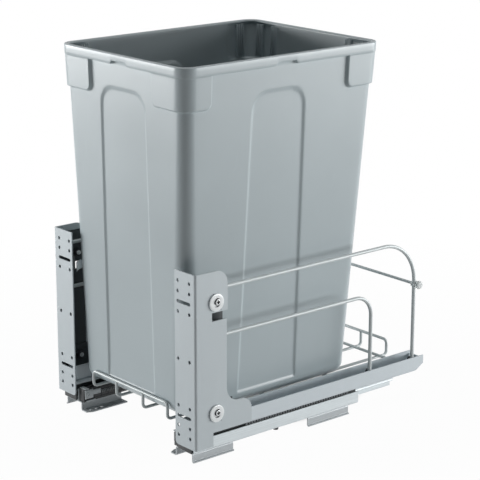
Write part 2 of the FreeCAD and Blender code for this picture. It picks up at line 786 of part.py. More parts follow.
def inner_cages():
    """The upper retainer also has a rib of hanging teeth that show between the channel and the slide."""
    bottom = f"{MIDDLE_FLOOR} + slide_gap"
    rib_low = f"({DRAWER_TOP} - slide_sheet + middle_slide_top - cage_rib_thick) / 2"
    rib_top = f"{rib_low} + cage_rib_thick"
    rib_outer = f"{SLIDE_OUTER} - cage_rib_inset"
    blank, holes = cage("inner_cage", INNER_BALLS, "inner_ball_height", bottom, rib_top, "inner_cage_length")
    rib_x = (f"{INNER_BALLS[1]} - cage_strip / 2", rib_outer)
    rib_y = (CAGE_START, f"{CAGE_START} + inner_cage_length")
    rib = box("inner_cage_rib", rib_x, rib_y, (rib_low, rib_top))
    teeth_low = f"{rib_low} - cage_tooth_drop"
    teeth = box("inner_cage_teeth", (f"{rib_outer} - cage_rib_notch", rib_outer), rib_y, (teeth_low, rib_top))
    whole = fuse("inner_cage_whole", [blank, rib, teeth])
    notch_x = (f"{rib_outer} - cage_rib_notch", f"{rib_outer} + cage_rib_notch")
    notch_z = (f"{teeth_low} - cage_rib_thick", f"{rib_top} + cage_rib_thick")
    notches = []
    for index in range(1, int(number("inner_cage_length / cage_rib_pitch"))):
        y = f"{CAGE_START} + {index} * cage_rib_pitch"
        notch_y = (f"{y} - cage_rib_notch / 2", f"{y} + cage_rib_notch / 2")
        notches.append(box("cage_notch", notch_x, notch_y, notch_z))
    both_sides(cut("inner_cage_body", whole, holes + notches), "inner_ball_cage")
    both_sides(balls("inner", INNER_BALLS, "inner_ball_height", "inner_cage_length"), "inner_balls")


# ---------------------------------------------------------------------------------------------
# Soft-close unit on the inner flank of each fixed slide
# ---------------------------------------------------------------------------------------------


def soft_close():
    low_x, high_x = f"{SLIDE_INNER} - damper_width", SLIDE_INNER
    low_y, high_y = "damper_front", "damper_front + damper_length"
    low_z, high_z = "slide_bottom", "damper_top"
    block = box("damper_block", (low_x, high_x), (low_y, high_y), (low_z, high_z))
    hollow = box(
        "damper_hollow",
        (f"{low_x} + damper_wall", f"{high_x} - damper_wall"),
        (f"{low_y} + damper_wall", f"{high_y} - damper_wall"),
        (f"{low_z} + damper_wall", f"{high_z} - damper_wall"),
    )
    middle = f"({SLIDE_INNER} - damper_width / 2)"
    slot_x = (f"{middle} - damper_slot_width / 2", f"{middle} + damper_slot_width / 2")
    slot_y = ("damper_front + damper_slot_front", "damper_front + damper_slot_front + damper_slot_length")
    slot = box("damper_slot", slot_x, slot_y, (f"{high_z} - 2 * damper_wall", f"{high_z} + damper_wall"))
    both_sides(cut("damper_case", block, [hollow, slot]), "soft_close_case")

    tube_start = "damper_front + damper_length - damper_wall - cylinder_length"
    tube_place = (middle, tube_start, "cylinder_height")
    both_sides(rod("damper_tube", tube_place, Y_AXIS, "cylinder_length", "cylinder_radius"),
               "damper_cylinder", tube_start)
    stem_start = "catch_place + catch_length"
    stem = rod("damper_stem", (middle, stem_start, "cylinder_height"), Y_AXIS,
               f"{tube_start} - ({stem_start})", "piston_radius")
    both_sides(stem, "damper_piston", stem_start)

    catch_x = (f"{middle} - catch_width / 2", f"{middle} + catch_width / 2")
    catch_y = ("catch_place", "catch_place + catch_length")
    catch = box("catch_block", catch_x, catch_y, ("slide_bottom + damper_wall", "catch_top"))
    both_sides(catch, "soft_close_catch", "catch_place")

    pin_y = "catch_place - catch_gap - catch_pin_radius"
    pin_length = f"{CHANNEL_INSIDE} + weld_sink - ({catch_x[0]})"
    pin_place = (catch_x[0], pin_y, "catch_pin_height")
    pin = rod("catch_pin_bar", pin_place, X_AXIS, pin_length, "catch_pin_radius")
    both_sides(pin, "catch_pin", pin_y)


# ---------------------------------------------------------------------------------------------
# Carriage: side channels, posts, rails, cross wire and their fasteners
# ---------------------------------------------------------------------------------------------


def channel_end():
    """The channel floor's rear end, folded up: a slope and then an upright lip between the walls."""
    slope_start = "unit_depth - channel_tail_run"
    slope = "(channel_tail_rise / channel_tail_run)"
    slant = f"carriage_sheet * sqrt(1 + {slope} ^ 2)"
    lip_top = "channel_top - channel_end_drop"
    knee = "channel_bottom + channel_tail_rise"
    outline = (
        (f"{slope_start} - 2 * carriage_sheet", "channel_bottom"),
        (slope_start, "channel_bottom"),
        ("unit_depth", knee),
        ("unit_depth", lip_top),
        ("unit_depth - carriage_sheet", lip_top),
        ("unit_depth - carriage_sheet", f"{knee} + {slant} - {slope} * carriage_sheet"),
        (f"{slope_start} + (carriage_sheet - {slant}) / {slope}", CHANNEL_FLOOR),
        (f"{slope_start} - 2 * carriage_sheet", CHANNEL_FLOOR),
    )
    margin = "(carriage_sheet + carriage_fold)"
    return plate("channel_end", outline, f"{CHANNEL_INSIDE} + {margin}", f"channel_width - 2 * {margin}")


def side_channel():
    sheet_name = "carriage_sheet"
    points = channel_points(CHANNEL_INSIDE, CHANNEL_OUTSIDE, "channel_bottom", "channel_top", sheet_name)
    length = "unit_depth - channel_front"
    blank = folded_u("side_channel_sheet", points, length, "channel_front", sheet_name, "carriage_fold")
    below, behind = "channel_bottom - carriage_sheet", "unit_depth + carriage_sheet"
    cut_x, cut_y = (CHANNEL_WALL, "unit_half_width"), ("0", "channel_front_cut")
    front_cut = box("channel_front_tool", cut_x, cut_y, (below, "channel_cut_top"))
    tail = (
        ("unit_depth - channel_tail_run", "channel_bottom"),
        ("unit_depth - channel_tail_run", below),
        (behind, below),
        (behind, "channel_bottom + channel_tail_rise"),
        ("unit_depth", "channel_bottom + channel_tail_rise"),
    )
    tail_width = "channel_width + 2 * carriage_sheet"
    tail_cut = plate("channel_tail_cut", tail, f"{CHANNEL_INSIDE} - carriage_sheet", tail_width)
    reach = "2 * carriage_sheet"
    rivets = [
        clear_hole("lap_rivet_hole", CHANNEL_WALL, y, "lap_rivet_height", X_AXIS, "rivet_radius", reach)
        for y in LAP_RIVETS
    ]
    trimmed = cut("side_channel_trimmed", blank, [front_cut, tail_cut] + rivets)
    both_sides(fuse("side_channel_body", [trimmed, channel_end()]), "side_channel")


def post():
    """The upright behind a door bracket: a web, a front flange and a lap inside the channel."""
    low = "channel_top + adjust_gap"
    upright = (low, "post_top")
    web = box("post_web", (CHANNEL_WALL, CHANNEL_OUTSIDE), (POST_FRONT, "post_depth"), upright)
    inner = f"{CHANNEL_OUTSIDE} - post_flange"
    sheet_y = (POST_FRONT, f"{POST_FRONT} + carriage_sheet")
    flange = box("post_front_flange", (inner, CHANNEL_OUTSIDE), sheet_y, upright)
    tab = box("post_tab_plate", (f"{inner} - post_tab", inner), sheet_y, ("post_tab_bottom", "post_tab_top"))
    lap = box("post_lap", (LAP_INSIDE, CHANNEL_WALL), ("lap_front", "lap_rear"), ("lap_bottom", "lap_top"))
    joggle_z = ("lap_top - carriage_sheet", "lap_top")
    joggle = box("post_joggle", (LAP_INSIDE, CHANNEL_OUTSIDE), ("lap_front", "post_depth"), joggle_z)
    whole = fuse("post_whole", [web, flange, tab, lap, joggle])
    whole = rounded_edges("post_fold", whole, "bracket_bend", is_upright(CHANNEL_OUTSIDE, POST_FRONT))
    inside = is_upright(CHANNEL_WALL, f"{POST_FRONT} + carriage_sheet")
    whole = rounded_edges("post_fold_inside", whole, "bracket_bend - carriage_sheet", inside)
    spots = [("adjuster_depth", height, "screw_radius + screw_play") for height in ADJUSTER_HEIGHTS]
    spots += [(y, "lap_rivet_height", "rivet_radius") for y in LAP_RIVETS]
    holes = [
        clear_hole("post_hole", CHANNEL_WALL, y, height, X_AXIS, radius, "2 * carriage_sheet")
        for y, height, radius in spots
    ]
    both_sides(cut("post_body", whole, holes + post_openings()), "post")


def post_openings():
    """Cutters behind the bracket's holes, slots and relief notch, so that a door screw can be reached."""
    columns = ("unit_half_width - hole_edge", "unit_half_width - hole_edge - hole_column")
    before, through = f"{POST_FRONT} - carriage_sheet", "3 * carriage_sheet"
    web_x = (f"{CHANNEL_WALL} - carriage_sheet", f"{CHANNEL_OUTSIDE} + carriage_sheet")
    relief_y = ("relief_front", "post_depth + carriage_sheet")
    cutters = [box("post_relief", web_x, relief_y, ("relief_bottom", "relief_top"))]
    rows = ["hole_mid_height"]
    for sign in ("+", "-"):
        for step in ("- hole_pitch", "+ hole_pitch", "+ 2 * hole_pitch"):
            rows.append(f"hole_mid_height {sign} (slot_offset {step})")
        height = f"hole_mid_height {sign} slot_offset"
        window_z = (f"{height} - post_window_half", f"{height} + post_window_half")
        window_x = (f"{columns[1]} - post_access_radius", f"{columns[0]} + post_access_radius")
        cutters.append(box("post_window", window_x, (before, f"{before} + {through}"), window_z))
    for height in rows:
        for x in columns:
            cutters.append(rod("post_access", (x, before, height), Y_AXIS, through, "post_access_radius"))
    return cutters


def lap_rivets():
    """Rivets that join each post's lap to its channel, flush outside and with a head inside."""
    solids = []
    for side in (-1, 1):
        for y in LAP_RIVETS:
            direction = X_AXIS * side
            stem_start = (f"{side} * ({LAP_INSIDE})", y, "lap_rivet_height")
            stem = rod("lap_rivet_stem", stem_start, direction, "2 * carriage_sheet", "rivet_radius")
            head_start = (f"{side} * ({LAP_INSIDE} - rivet_head)", y, "lap_rivet_height")
            head = rod("lap_rivet_head", head_start, direction, "rivet_head", "rivet_head_radius")
            solids.append(fuse("lap_rivet", [stem, head]))
    subpart(group("lap_rivet_set", solids), "post_rivets")


def adjusters():
    """Washer-headed screws that clamp a door bracket to its post, with a nut welded inside."""
    head_top = f"{WASHER_FACE} + washer_thick"
    screws, nuts = [], []
    for height, inside in zip(ADJUSTER_HEIGHTS, (CHANNEL_WALL, LAP_INSIDE)):
        tail_x = f"{inside} - nut_thick - screw_tail"
        tail = (tail_x, "adjuster_depth", height)
        shank = rod("screw_shank", tail, X_AXIS, f"{head_top} - ({tail_x})", "screw_radius")
        face = (WASHER_FACE, "adjuster_depth", height)
        washer = rod("screw_washer", face, X_AXIS, "washer_thick", "washer_radius")
        dish_start = (f"{head_top} - washer_dish_depth", "adjuster_depth", height)
        dish = rod("washer_dish", dish_start, X_AXIS, "washer_thick", "washer_dish_radius")
        boss = rod("screw_boss", face, X_AXIS, "washer_thick", "boss_radius")
        head = fuse("screw_head", [cut("washer_ring", washer, [dish]), boss, shank])
        arm = "cross_recess / 2"
        width = "cross_recess_width / 2"
        deep = (f"{head_top} - cross_recess_depth", f"{head_top} + washer_thick")
        level = (f"adjuster_depth - {arm}", f"adjuster_depth + {arm}")
        upright = (f"{height} - {arm}", f"{height} + {arm}")
        thin_y = (f"adjuster_depth - {width}", f"adjuster_depth + {width}")
        thin_z = (f"{height} - {width}", f"{height} + {width}")
        cross = [box("cross_slot", deep, level, thin_z), box("cross_slot", deep, thin_y, upright)]
        screws.append(cut("adjuster_screw", head, cross))
        nut = doc.addObject("Part::Prism", "adjuster_nut")
        nut.Polygon = 6
        nut.Placement.Rotation = Rotation(Z_AXIS, X_AXIS)
        bind(nut, Circumradius="nut_radius", Height="nut_thick")
        place(nut, f"{inside} - nut_thick", "adjuster_depth", height)
        play = "screw_radius + screw_play"
        bore = clear_hole("nut_bore", inside, "adjuster_depth", height, X_AXIS, play, "2 * nut_thick")
        nuts.append(cut("adjuster_nut_body", nut, [bore]))
    both_sides(group("adjuster_screw_pair", screws), "adjuster_screws")
    both_sides(group("adjuster_nut_pair", nuts), "adjuster_nuts")


def rails():
    for stem, leg in RAIL_LEGS.items():
        height = f"{stem}_rail_height"
        points = (
            (RAIL_LINE, "rail_front", height),
            (RAIL_LINE, leg, height),
            (RAIL_LINE, leg, CHANNEL_FLOOR),
        )
        both_sides(bent_wire(f"{stem}_rail_wire", points, "rail_radius", f"{stem}_rail_bend"), f"{stem}_rail")


def leg_screws():
    """Dark screws that hold each rail leg against the channel's outer wall."""
    solids = []
    for side in (-1, 1):
        for leg in RAIL_LEGS.values():
            inner = f"{RAIL_LINE} - rail_radius + weld_sink"
            start = (f"{side} * ({inner} - leg_screw_head)", leg, "leg_screw_height")
            solids.append(rod("leg_screw", start, X_AXIS * side, "leg_screw_head", "leg_screw_radius"))
    subpart(group("leg_screw_set", solids), "rail_leg_screws")


def rear_cross_wire():
    """A straight wire across the backs of the upper rails, with a sleeve clipped over each crossing."""
    start = (f"-({CROSS_WIRE_END})", CROSS_WIRE_LINE, "cross_wire_height")
    wire = rod("rear_cross_wire_bar", start, X_AXIS, f"2 * ({CROSS_WIRE_END})", "wire_radius")
    subpart(wire, "rear_cross_wire", CROSS_WIRE_LINE)
    start = (f"{RAIL_LINE} - clip_reach_in", CROSS_WIRE_LINE, "cross_wire_height")
    sleeve = rod("wire_clip_sleeve", start, X_AXIS, "clip_reach_in + clip_reach_out", "clip_radius")
    rounded = rounded_edges("wire_clip_rounded", sleeve, "clip_round", lambda a, b: (a - b).Length < 0.001)
    middle = ("0", CROSS_WIRE_LINE, "cross_wire_height")
    bore = rod("wire_clip_bore", middle, X_AXIS, CROSS_WIRE_END, "wire_radius")
    leg = clear_hole("wire_clip_leg", RAIL_LINE, RAIL_LEGS["upper"], "cross_wire_height", Z_AXIS,
                     "rail_radius", "2 * clip_radius")
    both_sides(cut("wire_clip_body", rounded, [bore, leg]), "wire_clip")


# ---------------------------------------------------------------------------------------------
# Wire cradle that the bin stands in
# ---------------------------------------------------------------------------------------------


def cradle():
    half, front, rear = "cradle_half_width", "cradle_front", "unit_depth - cradle_setback"
    top, low = "cradle_top", "cradle_bottom"
    loop = (
        (f"-{half}", front, top),
        (half, front, top),
        (half, front, low),
        (half, rear, low),
        (half, rear, top),
        (f"-{half}", rear, top),
        (f"-{half}", rear, low),
        (f"-{half}", front, low),
    )
    subpart(bent_wire("cradle_loop", loop, "wire_radius", "wire_bend", closed=True), "cradle_outer_loop")
    hang = "cradle_top - wire_radius + wire_sink"
    points = (
        ("middle_wire", front, hang),
        ("middle_wire", front, low),
        ("middle_wire", rear, low),
        ("middle_wire", rear, hang),
    )
    both_sides(bent_wire("cradle_middle", points, "wire_radius", "wire_bend"), "cradle_middle_wire")
    end = f"{CHANNEL_INSIDE} + weld_sink"
    for index, word in enumerate(("front", "second", "third", "rear")):
        y = f"cross_wire_first + {index} * cross_wire_pitch"
        start = (f"-({end})", y, CRADLE_CROSS_HEIGHT)
        wire = rod(f"cradle_cross_{word}", start, X_AXIS, f"2 * ({end})", "wire_radius")
        subpart(wire, f"cradle_cross_wire_{word}", y)


# ---------------------------------------------------------------------------------------------
# Door brackets
# ---------------------------------------------------------------------------------------------


def door_bracket():
    outline = (
        ("0", "bracket_bottom"),
        ("bracket_toe_depth", "bracket_bottom"),
        ("bracket_toe_depth", "arm_bottom"),
        ("arm_end", "arm_bottom"),
        ("arm_end", "arm_top"),
        ("bracket_side_low", "arm_top"),
        ("bracket_side_low", "relief_bottom"),
        ("bracket_side", "relief_bottom"),
        ("bracket_side", "bracket_top"),
        ("0", "bracket_top"),
    )
    side = plate("bracket_side_plate", outline, BRACKET_INSIDE, "bracket_sheet")
    flange_x = ("unit_half_width - bracket_flange", "unit_half_width")
    flange = box("bracket_front_flange", flange_x, ("0", "bracket_sheet"), ("bracket_bottom", "bracket_top"))
    whole = fuse("bracket_blank", [side, flange])

    def is_corner(y, z):
        return lambda a, b: along(a, b, X_AXIS) and near(a.y, y) and near(a.z, z)

    is_top, is_rear = is_corner("bracket_side", "bracket_top"), is_corner("arm_end", "arm_top")
    is_hollow = is_corner("bracket_side_low", "arm_top")
    shaped = rounded_edges("bracket_top_round", whole, "bracket_corner", is_top)
    shaped = rounded_edges("bracket_arm_round", shaped, "arm_rear_radius", is_rear)
    shaped = rounded_edges("bracket_arm_hollow", shaped, "arm_front_radius", is_hollow)

    def is_low_corner(a, b):
        return along(a, b, Y_AXIS) and near(a.x, flange_x[0]) and near(a.z, "bracket_bottom")

    shaped = rounded_edges("bracket_low_round", shaped, "bracket_low_corner", is_low_corner)
    shaped = rounded_edges("bracket_fold", shaped, "bracket_bend", is_upright("unit_half_width", "0"))
    inner = is_upright(BRACKET_INSIDE, "bracket_sheet")
    shaped = rounded_edges("bracket_fold_inside", shaped, "bracket_bend - bracket_sheet", inner)

    both_sides(cut("door_bracket_body", shaped, door_holes() + side_cutters()), "door_bracket")


def door_holes():
    """Cutters for the door's screw holes, and for two long slots that let the door shift sideways."""
    columns = ("unit_half_width - hole_edge", "unit_half_width - hole_edge - hole_column")
    before, through = "-bracket_sheet", "3 * bracket_sheet"
    rows = ["hole_mid_height"]
    cutters = []
    for sign in ("+", "-"):
        for step in ("- hole_pitch", "+ hole_pitch", "+ 2 * hole_pitch"):
            rows.append(f"hole_mid_height {sign} (slot_offset {step})")
        height = f"hole_mid_height {sign} slot_offset"
        slot_z = (f"{height} - door_slot_radius", f"{height} + door_slot_radius")
        cutters.append(box("door_slot", (columns[1], columns[0]), (before, "2 * bracket_sheet"), slot_z))
        for x in columns:
            cutters.append(rod("door_slot_end", (x, before, height), Y_AXIS, through, "door_slot_radius"))
    for height in rows:
        for x in columns:
            cutters.append(rod("door_hole", (x, before, height), Y_AXIS, through, "door_hole_radius"))
    return cutters


def side_cutters():
    """Cutters for the relief notch, the adjusters' slots and the index marks beside them."""
    through = (f"{BRACKET_INSIDE} - bracket_sheet", "unit_half_width + bracket_sheet")
    relief_y = ("relief_front", "bracket_side + bracket_sheet")
    cutters = [box("bracket_relief", through, relief_y, ("relief_bottom", "relief_top"))]
    play = "screw_radius + adjust_gap"
    for height in ADJUSTER_HEIGHTS:
        slot_y = (f"adjuster_depth - ({play})", f"adjuster_depth + ({play})")
        ends = (f"{height} - height_adjust", f"{height} + height_adjust")
        cutters.append(box("adjust_slot", through, slot_y, ends))
        for end in ends:
            start = (through[0], "adjuster_depth", end)
            cutters.append(rod("adjust_slot_end", start, X_AXIS, "3 * bracket_sheet", play))
        low_y = "adjuster_depth + mark_shift"
        low_z = f"{height} - mark_drop"
        mark_y, mark_z = (low_y, f"{low_y} + mark_width"), (low_z, f"{low_z} + mark_length")
        cutters.append(box("index_mark", through, mark_y, mark_z))
    return cutters


# ---------------------------------------------------------------------------------------------
# Bin
# ---------------------------------------------------------------------------------------------


def bin_outline(body, name, end, height, margin):
    """The bin's plan outline at its drafted wall's top or bottom end, grown by a margin."""
    sketch = new_sketch(body, name, "XY_Plane", height)
    half = f"({BIN_HALF_WIDTH[end]} + {margin})"
    front, rear = f"bin_front_{end} - {margin}", f"bin_rear_{end} + {margin}"
    rounded_rectangle(sketch, f"-{half}", half, front, rear, f"bin_corner_{end} + {margin}")
    return sketch


def bin_slab(name, end, low_z, high_z, margin):
    """An upright-walled block of the bin's outline."""
    body = doc.addObject("PartDesign::Body", name)
    pad = body.newObject("PartDesign::Pad", f"{name}_pad")
    pad.Profile = bin_outline(body, f"{name}_outline", end, low_z, margin)
    bind(pad, Length=f"({high_z}) - ({low_z})")
    return body


def bin_loft(name, low_z, high_z, margin):
    """A block with the bin's drafted walls."""
    body = doc.addObject("PartDesign::Body", name)
    low = bin_outline(body, f"{name}_bottom", "bottom", low_z, margin)
    high = bin_outline(body, f"{name}_top", "top", high_z, margin)
    loft = body.newObject("PartDesign::AdditiveLoft", f"{name}_loft")
    loft.Profile = low
    loft.Sections = [high]
    loft.Ruled = True
    return body


def tub(name, floor_z, wall_top, margin, foot_round):
    """A drafted block on an upright-walled foot, whose lowest edge is rounded."""
    foot_block = bin_slab(f"{name}_foot", "bottom", floor_z, BIN_WALL_START, margin)
    rounded = rounded_edges(f"{name}_foot_round", foot_block, foot_round, at_level(floor_z))
    return fuse(name, [rounded, bin_loft(f"{name}_wall", BIN_WALL_START, wall_top, margin)])


def arch_prism(name, low, high, reach, axis):
    """A prism with rounded upper corners, through the whole bin along one axis."""
    radius, top, bottom = "panel_corner", "panel_top", "panel_bottom"
    if axis == "y":
        wide = ((low, high), reach)
        slim = ((f"{low} + {radius}", f"{high} - {radius}"), reach)
    else:
        wide = (reach, (low, high))
        slim = (reach, (f"{low} + {radius}", f"{high} - {radius}"))
    pieces = [
        box(f"{name}_lower", *wide, (bottom, f"{top} - {radius}")),
        box(f"{name}_upper", *slim, (bottom, top)),
    ]
    height, length = f"{top} - {radius}", f"({reach[1]}) - ({reach[0]})"
    for side in (f"{low} + {radius}", f"{high} - {radius}"):
        if axis == "y":
            corner = rod(f"{name}_corner", (side, reach[0], height), Y_AXIS, length, radius)
        else:
            corner = rod(f"{name}_corner", (reach[0], side, height), X_AXIS, length, radius)
        pieces.append(corner)
    return fuse(name, pieces)


def corner_pads():
    """Raised pads with rounded lower corners, under the rim at the four corners."""
    swollen = bin_loft("bin_swollen", BIN_WALL_START, "bin_rim_bottom", "pad_proud")
    half = BIN_HALF_WIDTH["top"]
    wide, inner = f"{half} + rim_overhang", f"{half} - pad_side_reach"
    low = "bin_rim_bottom - pad_drop"
    front_end, rear_end = "bin_front_top + pad_front_reach", "bin_rear_top - pad_rear_reach"
    ends = {
        front_end: ("bin_front_top - rim_overhang", front_end),
        rear_end: (rear_end, "bin_rear_top + rim_overhang"),
    }
    blocks = []
    for side, x in (("-", (f"-({wide})", f"-({inner})")), ("+", (inner, wide))):
        for end, y in ends.items():

            def is_low_edge(a, b, x=f"{side}({inner})", y=end):
                across = along(a, b, Y_AXIS) and near(a.x, x)
                lengthwise = along(a, b, X_AXIS) and near(a.y, y)
                return near(a.z, low) and (across or lengthwise)

            block = box("bin_pad_block", x, y, (low, "bin_rim_bottom"))
            blocks.append(rounded_edges("bin_pad_rounded", block, "pad_corner", is_low_edge))
    pads = doc.addObject("Part::Common", "bin_pads")
    pads.Base = swollen
    pads.Tool = group("bin_pad_blocks", blocks)
    return pads


def panel_recesses():
    """Shallow panels with rounded upper corners in all four walls."""
    core = bin_loft("bin_core", BIN_WALL_START, "bin_rim_bottom", "(0 - panel_sink)")
    core_foot = bin_slab("bin_core_foot", "bottom", "bin_bottom", BIN_WALL_START, "(0 - panel_sink)")
    reach_y = ("bin_front_top - 2 * rim_overhang", "bin_rear_top + 2 * rim_overhang")
    half = BIN_HALF_WIDTH["top"]
    reach_x = (f"-({half} + 2 * rim_overhang)", f"{half} + 2 * rim_overhang")
    front = arch_prism("front_panels", "-front_panel_half", "front_panel_half", reach_y, "y")
    side_low, side_high = "side_panel_middle - side_panel_half", "side_panel_middle + side_panel_half"
    sides = arch_prism("side_panels", side_low, side_high, reach_x, "x")
    return cut("panel_recess_tool", fuse("panel_prisms", [front, sides]), [core, core_foot])


def waste_bin():
    outside = tub("bin_outside", "bin_bottom", "bin_rim_bottom", "0", "bin_foot_round")
    rim = bin_slab("bin_rim", "top", "bin_rim_bottom", "bin_top", "rim_overhang")
    shell = fuse("bin_solid", [outside, corner_pads(), rim])
    inner_round = "bin_foot_round - bin_floor"
    cavity = tub("bin_cavity", "bin_bottom + bin_floor", "bin_top", "(0 - bin_wall)", inner_round)
    subpart(cut("bin_body", shell, [cavity, panel_recesses()]), "waste_bin")


# ---------------------------------------------------------------------------------------------
# Build, check and write every sub-part
# ---------------------------------------------------------------------------------------------

foot("front")
foot("rear")
foot_rivets()
bumpers()
cabinet_slide()
middle_slide()
drawer_slide()
outer_cages()
inner_cages()
soft_close()
side_channel()
post()
lap_rivets()
adjusters()
rails()
leg_screws()
rear_cross_wire()
cradle()
door_bracket()
waste_bin()

doc.removeObject("probe")
doc.recompute()

for obj in doc.Objects:
    if "Invalid" in obj.State or "Error" in obj.State:
        raise RuntimeError(f"{obj.Name} failed: {obj.State}")
for obj in subparts:
    if obj.Shape.isNull() or not obj.Shape.isValid() or not obj.Shape.Solids:
        raise RuntimeError(f"{obj.Label} is not a valid solid")

os.makedirs("parts", exist_ok=True)
for obj in subparts:
    obj.Shape.exportStep(f"parts/{obj.Label}.step")
print(len(subparts), "sub-parts written")
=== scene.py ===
import math

import bmesh
import bpy
import numpy as np
from mathutils import Euler, Matrix, Vector


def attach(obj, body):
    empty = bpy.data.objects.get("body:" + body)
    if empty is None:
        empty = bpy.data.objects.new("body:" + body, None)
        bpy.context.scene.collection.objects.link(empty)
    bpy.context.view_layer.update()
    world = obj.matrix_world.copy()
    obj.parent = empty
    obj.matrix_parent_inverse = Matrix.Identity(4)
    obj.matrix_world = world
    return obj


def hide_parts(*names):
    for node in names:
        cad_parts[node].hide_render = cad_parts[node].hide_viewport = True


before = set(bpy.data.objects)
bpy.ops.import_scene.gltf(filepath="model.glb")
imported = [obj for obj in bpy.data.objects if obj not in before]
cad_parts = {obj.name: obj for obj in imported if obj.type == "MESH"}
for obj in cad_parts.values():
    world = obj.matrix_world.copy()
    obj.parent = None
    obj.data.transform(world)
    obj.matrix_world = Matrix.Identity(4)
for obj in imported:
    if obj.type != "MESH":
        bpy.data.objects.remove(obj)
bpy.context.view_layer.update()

# Dresses the pull-out waste unit: a finish for each CAD node, mesh pieces for what the photograph
# shows in more detail, and the studio. The frame's nodes are in metres. The sizes below are
# millimetres from the unit's middle (x), from the cabinet door's plane (y, towards the cabinet's
# back) and from the cabinet floor (z).
MM = 0.001
DOOR_TO_MIDDLE = 202.0
SIDES = {"right": 1, "left": -1}


def spot(x, y, z):
    return Vector((x * MM, (y - DOOR_TO_MIDDLE) * MM, z * MM))


# ---------------------------------------------------------------------------------------------
# Materials
# ---------------------------------------------------------------------------------------------


def linear(value):
    """An sRGB value of 0 to 255 as linear light."""
    value /= 255
    return value / 12.92 if value <= 0.04045 else ((value + 0.055) / 1.055) ** 2.4


class Shader:
    """A node material on a Principled surface, with its textures in the object's own space."""

    def __init__(self, name, roughness, metallic=0.0, **sockets):
        self.material = bpy.data.materials.new(name)
        self.material.use_nodes = True
        self.tree = self.material.node_tree
        self.surface = self.tree.nodes["Principled BSDF"]
        self.surface.inputs["Roughness"].default_value = roughness
        self.surface.inputs["Metallic"].default_value = metallic
        for socket, value in sockets.items():
            self.surface.inputs[socket.replace("_", " ")].default_value = value
        self.place = self.tree.nodes.new("ShaderNodeTexCoord").outputs["Object"]

    def link(self, source, target):
        self.tree.links.new(source, target)

    def noise(self, per_metre, detail=3.0, stretch=(1, 1, 1), distortion=0.0):
        mapping = self.tree.nodes.new("ShaderNodeMapping")
        mapping.inputs["Scale"].default_value = [per_metre * k for k in stretch]
        texture = self.tree.nodes.new("ShaderNodeTexNoise")
        texture.inputs["Scale"].default_value = 1.0
        texture.inputs["Detail"].default_value = detail
        texture.inputs["Distortion"].default_value = distortion
        self.link(self.place, mapping.inputs["Vector"])
        self.link(mapping.outputs["Vector"], texture.inputs["Vector"])
        return texture.outputs["Fac"]

    def ramp(self, source, low, high, start=0.0, end=1.0):
        span = self.tree.nodes.new("ShaderNodeMapRange")
        for socket, value in (("From Min", low), ("From Max", high), ("To Min", start), ("To Max", end)):
            span.inputs[socket].default_value = value
        self.link(source, span.inputs["Value"])
        return span.outputs["Result"]

    def mix(self, share, first, second, kind="MIX"):
        node = self.tree.nodes.new("ShaderNodeMix")
        node.data_type = "RGBA"
        node.blend_type = kind
        for socket, value in ((0, share), (6, first), (7, second)):
            if isinstance(value, bpy.types.NodeSocket):
                self.link(value, node.inputs[socket])
            else:
                node.inputs[socket].default_value = value
        return node.outputs[2]

    def color(self, source):
        self.link(source, self.surface.inputs["Base Color"])

    def roughness(self, source, low, high, start, end):
        self.link(self.ramp(source, low, high, start, end), self.surface.inputs["Roughness"])

    def bump(self, source, depth_mm, strength=1.0):
        node = self.tree.nodes.new("ShaderNodeBump")
        node.inputs["Distance"].default_value = depth_mm * MM
        node.inputs["Strength"].default_value = strength
        self.link(source, node.inputs["Height"])
        if self.surface.inputs["Normal"].is_linked:
            self.link(self.surface.inputs["Normal"].links[0].from_socket, node.inputs["Normal"])
        self.link(node.outputs["Normal"], self.surface.inputs["Normal"])


def shade(rgb, factor=1.0):
    """An sRGB colour as a linear one, made lighter or darker by a factor."""
    return [min(linear(value) * factor, 1.0) for value in rgb] + [1.0]


def coated_sheet(name, rgb, roughness, metallic=0.25):
    """Smooth silver-grey coat on sheet steel: fine flake, faint orange peel and light rub marks."""
    m = Shader(name, roughness, metallic, Specular_IOR_Level=0.5)
    flake = m.ramp(m.noise(5200, 1.0), 0.3, 0.7)
    cloud = m.ramp(m.noise(9, 4.0), 0.3, 0.7)
    rub = m.ramp(m.noise(40, 6.0, (1, 1, 0.15), 0.6), 0.56, 0.75, 0.0, 0.35)
    base = m.mix(flake, shade(rgb, 0.94), shade(rgb, 1.06))
    base = m.mix(m.ramp(cloud, 0.0, 1.0, 0.0, 0.5), base, shade(rgb, 0.95))
    m.color(m.mix(rub, base, shade(rgb, 1.1)))
    m.roughness(cloud, 0.0, 1.0, roughness - 0.05, roughness + 0.06)
    m.bump(m.noise(900, 2.0), 0.012)
    return m.material


def zinc_sheet(name, rgb, roughness, metallic=0.55):
    """Bright zinc: rolling streaks along the sheet, small spangle and dull patches."""
    m = Shader(name, roughness, metallic, Specular_IOR_Level=0.5)
    streak = m.ramp(m.noise(700, 4.0, (1, 0.012, 1)), 0.3, 0.7)
    patch = m.ramp(m.noise(26, 5.0, distortion=0.8), 0.35, 0.7)
    speck = m.ramp(m.noise(2600, 2.0), 0.3, 0.7)
    base = m.mix(streak, shade(rgb, 0.9), shade(rgb, 1.08))
    base = m.mix(m.ramp(patch, 0.0, 1.0, 0.0, 0.45), base, shade(rgb, 0.86))
    m.color(m.mix(m.ramp(speck, 0.0, 1.0, 0.0, 0.3), base, shade(rgb, 1.12)))
    m.roughness(patch, 0.0, 1.0, roughness - 0.07, roughness + 0.1)
    m.bump(streak, 0.006)
    m.bump(speck, 0.004)
    return m.material


